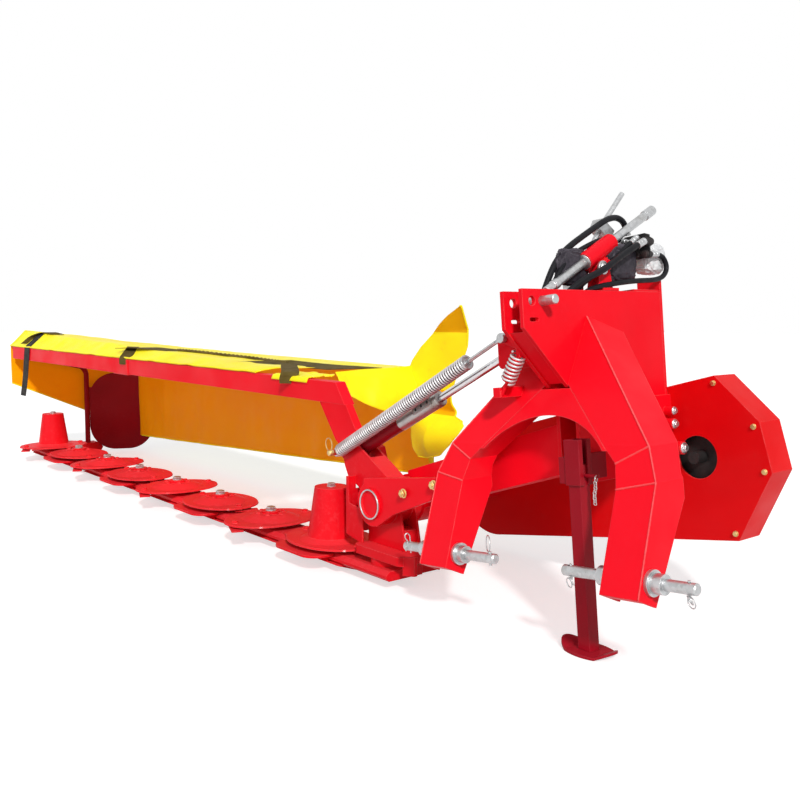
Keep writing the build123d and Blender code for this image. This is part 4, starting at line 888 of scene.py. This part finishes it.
# ---------------------------------------------------------------- lift cylinder
CYL_Y, CYL_LOW, CYL_HIGH = 128.0, (-870.0, 412.0), (-190.0, 762.0)
BARREL_END, BARREL_R = 440.0, 23.5
cyl_low, cyl_high = at(CYL_LOW[0], CYL_Y, CYL_LOW[1]), at(CYL_HIGH[0], CYL_Y, CYL_HIGH[1])
cyl_dir = (cyl_high - cyl_low).normalized()
cyl_up = cyl_dir.cross(Vector((0, 1, 0))).normalized()
if cyl_up.z < 0:
    cyl_up = -cyl_up


def on_cylinder(along, up=0.0, front=0.0):
    """A point along the cylinder from its lower eye, above its line and in front of it, in mm."""
    return cyl_low + (cyl_dir * along + cyl_up * up - Vector((0, front, 0))) * MM


gland = Mesh()
gland.turned(cyl_low, cyl_dir, ((BARREL_END - 24, BARREL_R + 0.4), (BARREL_END - 23, BARREL_R + 2),
                                (BARREL_END - 3, BARREL_R + 2), (BARREL_END + 1, BARREL_R - 1),
                                (BARREL_END + 2, 13.2), (BARREL_END - 2, 13.2),
                                (BARREL_END - 2, BARREL_R - 1),
                                (BARREL_END - 24, BARREL_R - 1)), 30, pipe=True)
gland.finish("cylinder_gland", "cylinder_barrel", STEEL, 30)
port = Mesh()
for along in (52, BARREL_END - 52):
    port.turned(on_cylinder(along, BARREL_R - 3), cyl_up, ((0, 11), (9, 11), (10, 10)), 20)
    port.turned(on_cylinder(along, BARREL_R + 6), cyl_up, ((0, 10), (8, 10), (9, 8.5)), flats=6)
port.finish("cylinder_ports", "cylinder_barrel", ZINC, 30)
port_pipe = Mesh()
port_pipe.tube(smooth_line([on_cylinder(along, up) for along, up in (
    (52, 34), (70, 42), (120, 31), (300, 29.5), (BARREL_END - 66, 31), (BARREL_END - 52, 34))]), 4.5, 10)
port_pipe.finish("cylinder_pipe", "cylinder_barrel", ZINC, 60)
sleeve = Mesh()
sleeve.turned(cyl_low, cyl_dir, ((236, BARREL_R + 0.2), (237, BARREL_R + 1.4),
                                 (BARREL_END - 27, BARREL_R + 1.4), (BARREL_END - 26, BARREL_R + 0.3),
                                 (BARREL_END - 26, BARREL_R - 0.8),
                                 (236, BARREL_R - 0.8)), 32, pipe=True)
sleeve.plate([on_cylinder(along, up, BARREL_R + 1.2) for along, up in (
    (330, -9), (420, -9), (420, 13), (404, 17), (330, 13))], 4, (0, -1, 0))
for along in (346, 376, 406):
    sleeve.turned(on_cylinder(along, 3, BARREL_R + 5.1), (0, -1, 0),
                  ((0, 5.4), (0.3, 5.2), (0.4, 0.4)), 16, 1)
sleeve.finish("cylinder_sleeve", "cylinder_barrel", [STEEL, CAST_SHADE_DARK], 30)

# ---------------------------------------------------------------- bolts, pins and clips on the headstock
GUARD_Y = 594.0
GUARD_CORNERS = ((193.0, 608.0), (323.0, 475.0), (352.0, 337.0), (243.0, 143.0))
GUARD_MIDDLE, BOLT_INSET = (150.0, 360.0), 22.0
FRONT = head_dir(0, -1, 0)
rim = Mesh()
for x, z in GUARD_CORNERS:
    across, rise = x - GUARD_MIDDLE[0], z - GUARD_MIDDLE[1]
    k = 1 - BOLT_INSET / math.hypot(across, rise)
    rim.bolt(head(GUARD_MIDDLE[0] + across * k, GUARD_Y - 0.3, GUARD_MIDDLE[1] + rise * k), FRONT, 8)
rim.finish("guard_bolts", "headstock", GOLD_ZINC, 30)

plate_bolts = Mesh()
for x, z in ((-531, 305), (-389, 337)):
    plate_bolts.bolt(head(x, 31.5, z), FRONT, 14, length=4)
plate_bolts.finish("pivot_plate_bolts", "headstock", GOLD_ZINC, 30)

pivot_ring = Mesh()
PIVOT_FRONT = at(PIVOT[0], 31.5, PIVOT[1])
pivot_ring.tube(circle(PIVOT_FRONT + Vector((0, -1.0, 0)) * MM, (0, 1, 0), 46.5, 56), 2.8, 8, closed=True)
pivot_ring.finish("pivot_rim", "headstock", ZINC, 60)

LINK_Z = 154.0


def r_clip(centre, across, down):
    """A spring clip through a pin: a straight leg, a loop and a bent leg."""
    across, down = Vector(across).normalized(), Vector(down).normalized()
    shape = ((0, 20), (0, 4), (0, -24), (2, -34), (9, -40), (16, -34), (14, -24), (8, -14), (12, -4), (18, 4),
             (15, 12))
    return smooth_line([centre + (across * a - down * b) * MM for a, b in shape], 5)


HX = head_dir(1, 0, 0)
HZ = head_dir(0, 0, 1)
clips = Mesh()
for x, ring_x, ring_r in ((473.0, 479.0, 13), (141.0, 136.0, 12)):
    clips.tube([head(x, 0, LINK_Z + 18), head(x, 0, LINK_Z - 22)], 3.2, 10)
    clips.tube(circle(head(x + 4, -6, LINK_Z - 24), (0.5, 0.7, 0.5), 11, 22), 1.6, 8, closed=True)
    clips.tube(circle(head(ring_x, -4, LINK_Z - 30), (0.3, 0.9, 0.2), ring_r, 22), 1.6, 8, closed=True)
clips.finish("pin_clips_left", "headstock", ZINC, 60)
clips_right = Mesh()
clips_right.tube(circle(head(-143, -2, LINK_Z + 40), (0.5, 0.8, 0), 22, 30), 1.7, 8, closed=True)
clips_right.tube([head(-140, 0, LINK_Z + 18), head(-140, 0, LINK_Z - 20)], 4.6, 12)
clips_right.tube(r_clip(head(-475, 0, LINK_Z), FRONT * 0.8 - HX * 0.2, HZ), 1.8, 8)
clips_right.finish("pin_clips_right", "headstock", ZINC, 60)

stand_clip = Mesh()
STAND_X, STAND_Y, STAND_PIN_Z = 85.0, 116.0, 374.0
chain_ring = head(STAND_X + 62, STAND_Y - 8, STAND_PIN_Z - 6)
stand_clip.tube(circle(chain_ring, (0.9, 0.3, 0), 9, 20), 1.5, 8, closed=True)
chain = [head(STAND_X + 60 - i * 0.6, STAND_Y - 10 + 1.6 * math.sin(i), STAND_PIN_Z - 16 - i * 6.5)
         for i in range(9)]
for i, p in enumerate(chain):
    stand_clip.tube(circle(p, HX if i % 2 else FRONT, 4.6, 14), 1.1, 6, closed=True)
stand_clip.finish("stand_pin_chain", "headstock", ZINC, 60)

# weld seams of the hitch arms, along their bends and front edges, and a bead down each arm's ridge that is a
# painted highlight line; all beads are in a pale pink that is painted highlight
ARM_OUT_X = 374.0
KNEE_OUT, KNEE_IN = (339.0, 457.0), (251.0, 415.0)  # X, Z
ELBOW_OUT, ELBOW_IN = (374.0, 376.0), (265.0, 356.0)
ARM_FRONT = ((241.0, 791.0), (70.0, 457.0), (39.0, 376.0), (-52.0, 122.0))


def arm_front_y(z):
    for (y0, z0), (y1, z1) in zip(ARM_FRONT, ARM_FRONT[1:]):
        if z >= z1:
            return y0 + (y1 - y0) * (z - z0) / (z1 - z0)
    return ARM_FRONT[-1][0]


welds = Mesh()
for side in (1, -1):
    for out, inn in ((KNEE_OUT, KNEE_IN), (ELBOW_OUT, ELBOW_IN)):
        a = head(side * out[0], arm_front_y(out[1]) - 0.5, out[1])
        b = head(side * inn[0], arm_front_y(inn[1]) - 0.5, inn[1])
        welds.bead([a, b], 2.6)
    front_edge = [head(side * x, arm_front_y(z) - 0.3, z) for x, z in (
        KNEE_OUT, ELBOW_OUT, (ARM_OUT_X, 240), (ARM_OUT_X, 124))]
    welds.bead(front_edge, 2.0)
    # painted highlight: this bead stands for the bright line down the arm's ridge from its top to the knee
    welds.bead([head(side * 41, 240, 790), head(side * KNEE_OUT[0], 69.5, KNEE_OUT[1])], 2.2)
welds.finish("arm_welds", "headstock", SEAM_HIGHLIGHT_RED, 80)

# ---------------------------------------------------------------- rotors: nuts, dome bolts and knife bolts
DISC_X, DISC_PITCH, DISC_Y = -999.0, 400.0, 89.0
DISC_TOP_Z = 86.0
DOME, CAP, HAT_TOP_Z = 18.0, 10.0, 268.0
DOME_BOLT_R, KNIFE_BOLT_R = 49.0, 156.0
UP = Vector((0, 0, 1))
for k in range(DISC_COUNT):
    x = DISC_X - DISC_PITCH * k
    fixings = Mesh()
    hat = k in (0, DISC_COUNT - 1)
    crown = HAT_TOP_Z if hat else DISC_TOP_Z + DOME + CAP
    fixings.bolt(at(x, DISC_Y, crown - 0.5), UP, 16 if hat else 20)
    for i in range(0 if hat else 6):
        a = math.radians(30 + 60 * i + 45 * k)
        px, py = x + DOME_BOLT_R * math.cos(a), DISC_Y + DOME_BOLT_R * math.sin(a)
        fixings.bolt(at(px, py, DISC_TOP_Z + DOME - 0.5), UP, 9, 1)
    along = math.radians(90 * (k % 2))
    for end in (1, -1):
        px, py = x + end * KNIFE_BOLT_R * math.cos(along), DISC_Y + end * KNIFE_BOLT_R * math.sin(along)
        fixings.bolt(at(px, py, DISC_TOP_Z - 0.3), UP, 13, 1)
    fixings.finish(f"disc_{k + 1}_fixings", f"disc_{k + 1}", [ZINC, RED_LOW_DUST_AND_SHEEN], 30)

# ---------------------------------------------------------------- hoses and couplings on the mast
MAST_OUT_X, COUPLING_Y0 = 39.0, 508.0
HOSE_SIDE_X = MAST_OUT_X + 9.3
HOSES = (
    # name, tube radius, points (X, Y, Z) on the level headstock
    ("hose_arch", 9.0, ((-22, 148, 866), (-22, 176, 915), (-22, 214, 958), (-22, 262, 990), (-22, 320, 1020),
                        (-22, 384, 1052), (-22, 440, 1078), (-22, 486, 1084), (-22, 519, 1066),
                        (-22, 526, 1032))),
    ("hose_loop", 7.5, ((20, 236, 836), (22, 262, 858), (30, 300, 871), (HOSE_SIDE_X - 6, 366, 881),
                        (HOSE_SIDE_X, 457, 890), (HOSE_SIDE_X - 2, 556, 894), (HOSE_SIDE_X - 4, 602, 908),
                        (HOSE_SIDE_X - 6, 622, 936), (HOSE_SIDE_X - 8, 606, 966), (HOSE_SIDE_X - 8, 574, 970),
                        (HOSE_SIDE_X - 8, 544, 968))),
    ("hose_feed", 9.5, ((18, 176, 838), (22, 206, 866), (36, 252, 892), (HOSE_SIDE_X, 306, 913),
                        (HOSE_SIDE_X, 350, 934), (HOSE_SIDE_X, 402, 960), (HOSE_SIDE_X, 456, 984),
                        (HOSE_SIDE_X, 506, 1004))),
    ("hose_back", 8.5, ((8, 200, 840), (10, 270, 886), (12, 330, 912), (18, 390, 946), (22, 446, 982),
                        (24, 506, 1018))),
    ("hose_inner", 7.0, ((-6, 158, 866), (-10, 196, 918), (-12, 250, 960), (-14, 310, 986), (-16, 372, 1008),
                         (-18, 430, 1020), (-10, 508, 1010))),
)


FERRULE = 34.0


def hose(name, radius, points, replaces=()):
    """A held hose on a smooth line, with a crimped ferrule at its last end."""
    data = bpy.data.curves.new(name, "CURVE")
    data.dimensions = "3D"
    data.bevel_depth = radius * MM
    data.bevel_resolution = 5
    data.resolution_u = 10
    data.use_fill_caps = True
    spline = data.splines.new("NURBS")
    spline.points.add(len(points) - 1)
    for knot, p in zip(spline.points, points):
        knot.co = (*head(*p), 1)
    spline.order_u = 3
    spline.use_endpoint_u = True
    data.materials.append(HOSE)
    piece = linked(name, data)
    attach(piece, "headstock")
    for node in replaces:
        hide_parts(node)
    crimp = Mesh()
    last, before = head(*points[-1]), head(*points[-2])
    along = (last - before).normalized()
    r = radius + 1.6
    grooves = ((0, r), (10, r), (11, r - 0.9), (13, r - 0.9), (14, r), (24, r), (25, r - 0.9), (27, r - 0.9),
               (28, r), (FERRULE, r))
    crimp.turned(last - along * FERRULE * MM, along, ((-1, r - 2), *grooves), 22)
    crimp.finish(f"{name}_ferrule", "headstock", ZINC, 30)


for order, (name, radius, points) in enumerate(HOSES):
    hose(name, radius, points, ("hoses",) if order == 0 else ())

couplers = Mesh()
for x, z, radius in ((-20, 1000, 15), (-22, 966, 13), (14, 1012, 15), (14, 974, 15), (46, 1004, 14),
                     (42, 968, 12)):
    profile = [(along, radius * share) for along, share in (
        (0, 0.7), (1, 0.9), (9, 0.9), (10, 1), (14, 1), (15, 0.92), (17, 0.92), (18, 1), (26, 1), (27, 0.8),
        (35, 0.8), (37, 0.6))]
    couplers.turned(head(x, COUPLING_Y0, z), head_dir(0, 1, 0.05), profile, 26)
couplers.plate([head(x, COUPLING_Y0 + 12, z) for x, z in (
    (-30, 958), (56, 958), (56, 1024), (40, 1030), (-30, 1028))], 5, head_dir(0, 1, 0), 1)
coupler_piece = couplers.finish("coupling_bank", "headstock", [CAST_SHADE_DARK, BLACK], 35, 0.6)
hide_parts("couplings")

# small fittings on the mast, the sleeve and the guard bracket
fittings = Mesh()
for y, z, x, size in ((566, 512, 75, 11), (566, 474, 75, 13), (560, 405, 105, 15)):
    fittings.turned(head(x - 0.5, y, z), HX, ((0, size + 1), (3, size + 1), (5, size - 1)), 24)
    fittings.bolt(head(x + 3.5, y, z), HX, size * 0.8, washer=False)
fittings.turned(head(29, 331, 925), HX, ((0, 19), (6, 20), (8, 19), (8.5, 15)), 30)
fittings.bolt(head(37.5, 331, 925), HX, 12, length=4)
fittings.finish("mast_fittings", "headstock", ZINC, 30)
ADJUSTER_FOOT, ADJUSTER_TOP = head(0, 168, 880), head(0, 622, 1110)
adjuster_dir = (ADJUSTER_TOP - ADJUSTER_FOOT).normalized()
tube_caps = Mesh()
for start, along, profile, sides in (
        (ADJUSTER_TOP, -3, ((0, 12.4), (1, 14.4), (2.4, 14.2), (2.8, 6), (2.9, 3)), 24),
        (ADJUSTER_FOOT, 276, ((-1, 22), (3, 20.5), (5, 16), (5.5, 13)), 26),
        (ADJUSTER_FOOT, 138, ((-3, 13), (-2.5, 17), (1, 22)), 26),
        (ADJUSTER_FOOT, -44, ((0, 10), (2, 12), (30, 12), (32, 14.4), (50, 14.4), (52, 13)), 24)):
    tube_caps.turned(start + adjuster_dir * along * MM, adjuster_dir, profile, sides)
tube_caps.finish("adjuster_caps", "headstock", ZINC, 30)

# collar on the canopy tube
collar = Mesh()
x0, x1, COLLAR = -2456, -2300, 3.5
collar.plate([at(x, -85.2, z) for x, z in ((x0, 589), (x1, 589), (x1, 655), (x0, 655))], COLLAR, (0, -1, 0))
collar.plate([at(x, y, 588.8) for x, y in ((x0, -88), (x1, -88), (x1, -45), (x0, -45))], COLLAR, (0, 0, -1))
collar.finish("tube_collar", "cutting_unit", RED, 30, 0.8)


# ---------------------------------------------------------------- crumpled films round the couplings
def film(name, low, high, material, seed, replaces=()):
    """A bag of thin film, crumpled, inside a box."""
    centre, half = (low + high) / 2, (high - low) / 2
    shift = Vector((seed, seed * 2, seed * 3))
    mesh = bmesh.new()
    bmesh.ops.create_icosphere(mesh, subdivisions=5, radius=1.0)
    for v in mesh.verts:
        d = v.co.normalized()
        boxy = Vector([math.copysign(abs(c) ** 0.62, c) for c in d])
        crease = (1 - 0.20 * abs(noise.noise(d * 2.4 + shift)) - 0.12 * abs(noise.noise(d * 6 + shift))
                  - 0.05 * abs(noise.noise(d * 15 + shift)))
        v.co = centre + Vector([boxy[i] * half[i] * crease for i in range(3)])
    data = bpy.data.meshes.new(name)
    mesh.to_mesh(data)
    mesh.free()
    data.materials.append(material)
    data.shade_smooth()
    piece = linked(name, data)
    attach(piece, "headstock")
    for node in replaces:
        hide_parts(node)
    return piece


film("coupling_film", *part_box("valve_cover"), PALE, 1.0, ("valve_cover",))
for name, low, high, seed in (("dark_film", (-30, 372, 884), (30, 520, 1000), 4.0),
                              ("arch_film", (-36, 190, 878), (2, 330, 985), 7.0)):
    film(name, head(*low), head(*high), DARK_FILM, seed)

# ---------------------------------------------------------------- floor, light and camera
FLOOR_HALF, FLOOR_DROP = 30.0, 0.001  # metres


def floor_material():
    mat, tree, shader = new_material("studio_floor")
    dress(tree, shader, {"Base Color": (0.55, 0.55, 0.55), "Roughness": 0.9,
                         "Emission Color": (1.0, 1.0, 1.0),
                         "Emission Strength": times(tree, seen_straight(tree), 0.62)})
    return mat


floor_mesh = bpy.data.meshes.new("floor")
corners = ((-1, -1), (1, -1), (1, 1), (-1, 1))
floor_mesh.from_pydata([(x * FLOOR_HALF, y * FLOOR_HALF, -FLOOR_DROP) for x, y in corners], [],
                       [(0, 1, 2, 3)])
floor_mesh.materials.append(floor_material())
linked("floor", floor_mesh)

world = bpy.data.worlds.new("studio")
bpy.context.scene.world = world
world.use_nodes = True
tree = world.node_tree
background = tree.nodes["Background"]
plain = tree.nodes.new("ShaderNodeBackground")
dress(tree, plain, {"Color": (1.0, 1.0, 1.0), "Strength": 1.0})
dress(tree, background, {"Color": (0.95, 0.97, 1.0), "Strength": 0.38})
choose = tree.nodes.new("ShaderNodeMixShader")
for index, socket in enumerate((seen_straight(tree), background.outputs[0], plain.outputs[0])):
    feed(tree, choose.inputs[index], socket)
feed(tree, tree.nodes["World Output"].inputs["Surface"], choose.outputs[0])


def sun(name, energy, towards, colour, spread):
    """Sunlight from a direction; spread is its angle in degrees."""
    data = bpy.data.lights.new(name, "SUN")
    data.energy = energy
    data.color = colour
    data.angle = math.radians(spread)
    linked(name, data).rotation_euler = (-Vector(towards)).to_track_quat("-Z", "Y").to_euler()


sun("key", 2.7, (0.72, -0.42, 0.58), (1.0, 0.985, 0.96), 5)
sun("fill", 0.55, (0.15, -0.95, 0.35), (1.0, 0.99, 1.0), 50)

CAMERA_AT = (1579.2955, -1730.8269, 881.6443)
CAMERA_YAW, CAMERA_PITCH, CAMERA_ROLL = 50.46618, 5.65273, 0.28074
LENS, SENSOR = 41.28894, 36.0
yaw, pitch, roll = (math.radians(v) for v in (CAMERA_YAW, CAMERA_PITCH, CAMERA_ROLL))
ahead = Vector((-math.sin(yaw) * math.cos(pitch), math.cos(yaw) * math.cos(pitch), -math.sin(pitch)))
level = Vector((math.cos(yaw), math.sin(yaw), 0))
above = level.cross(ahead)
right = level * math.cos(roll) + above * math.sin(roll)
upward = above * math.cos(roll) - level * math.sin(roll)
camera_data = bpy.data.cameras.new("camera")
camera_data.sensor_width = SENSOR
camera_data.lens = LENS
camera_data.clip_end = 200
camera = linked("camera", camera_data)
turned = Matrix((right, upward, -ahead)).transposed().to_4x4()
turned.translation = at(*CAMERA_AT)
camera.matrix_world = turned
bpy.context.scene.camera = camera
bpy.context.scene.view_settings.view_transform = "Standard"

bpy.context.view_layer.update()
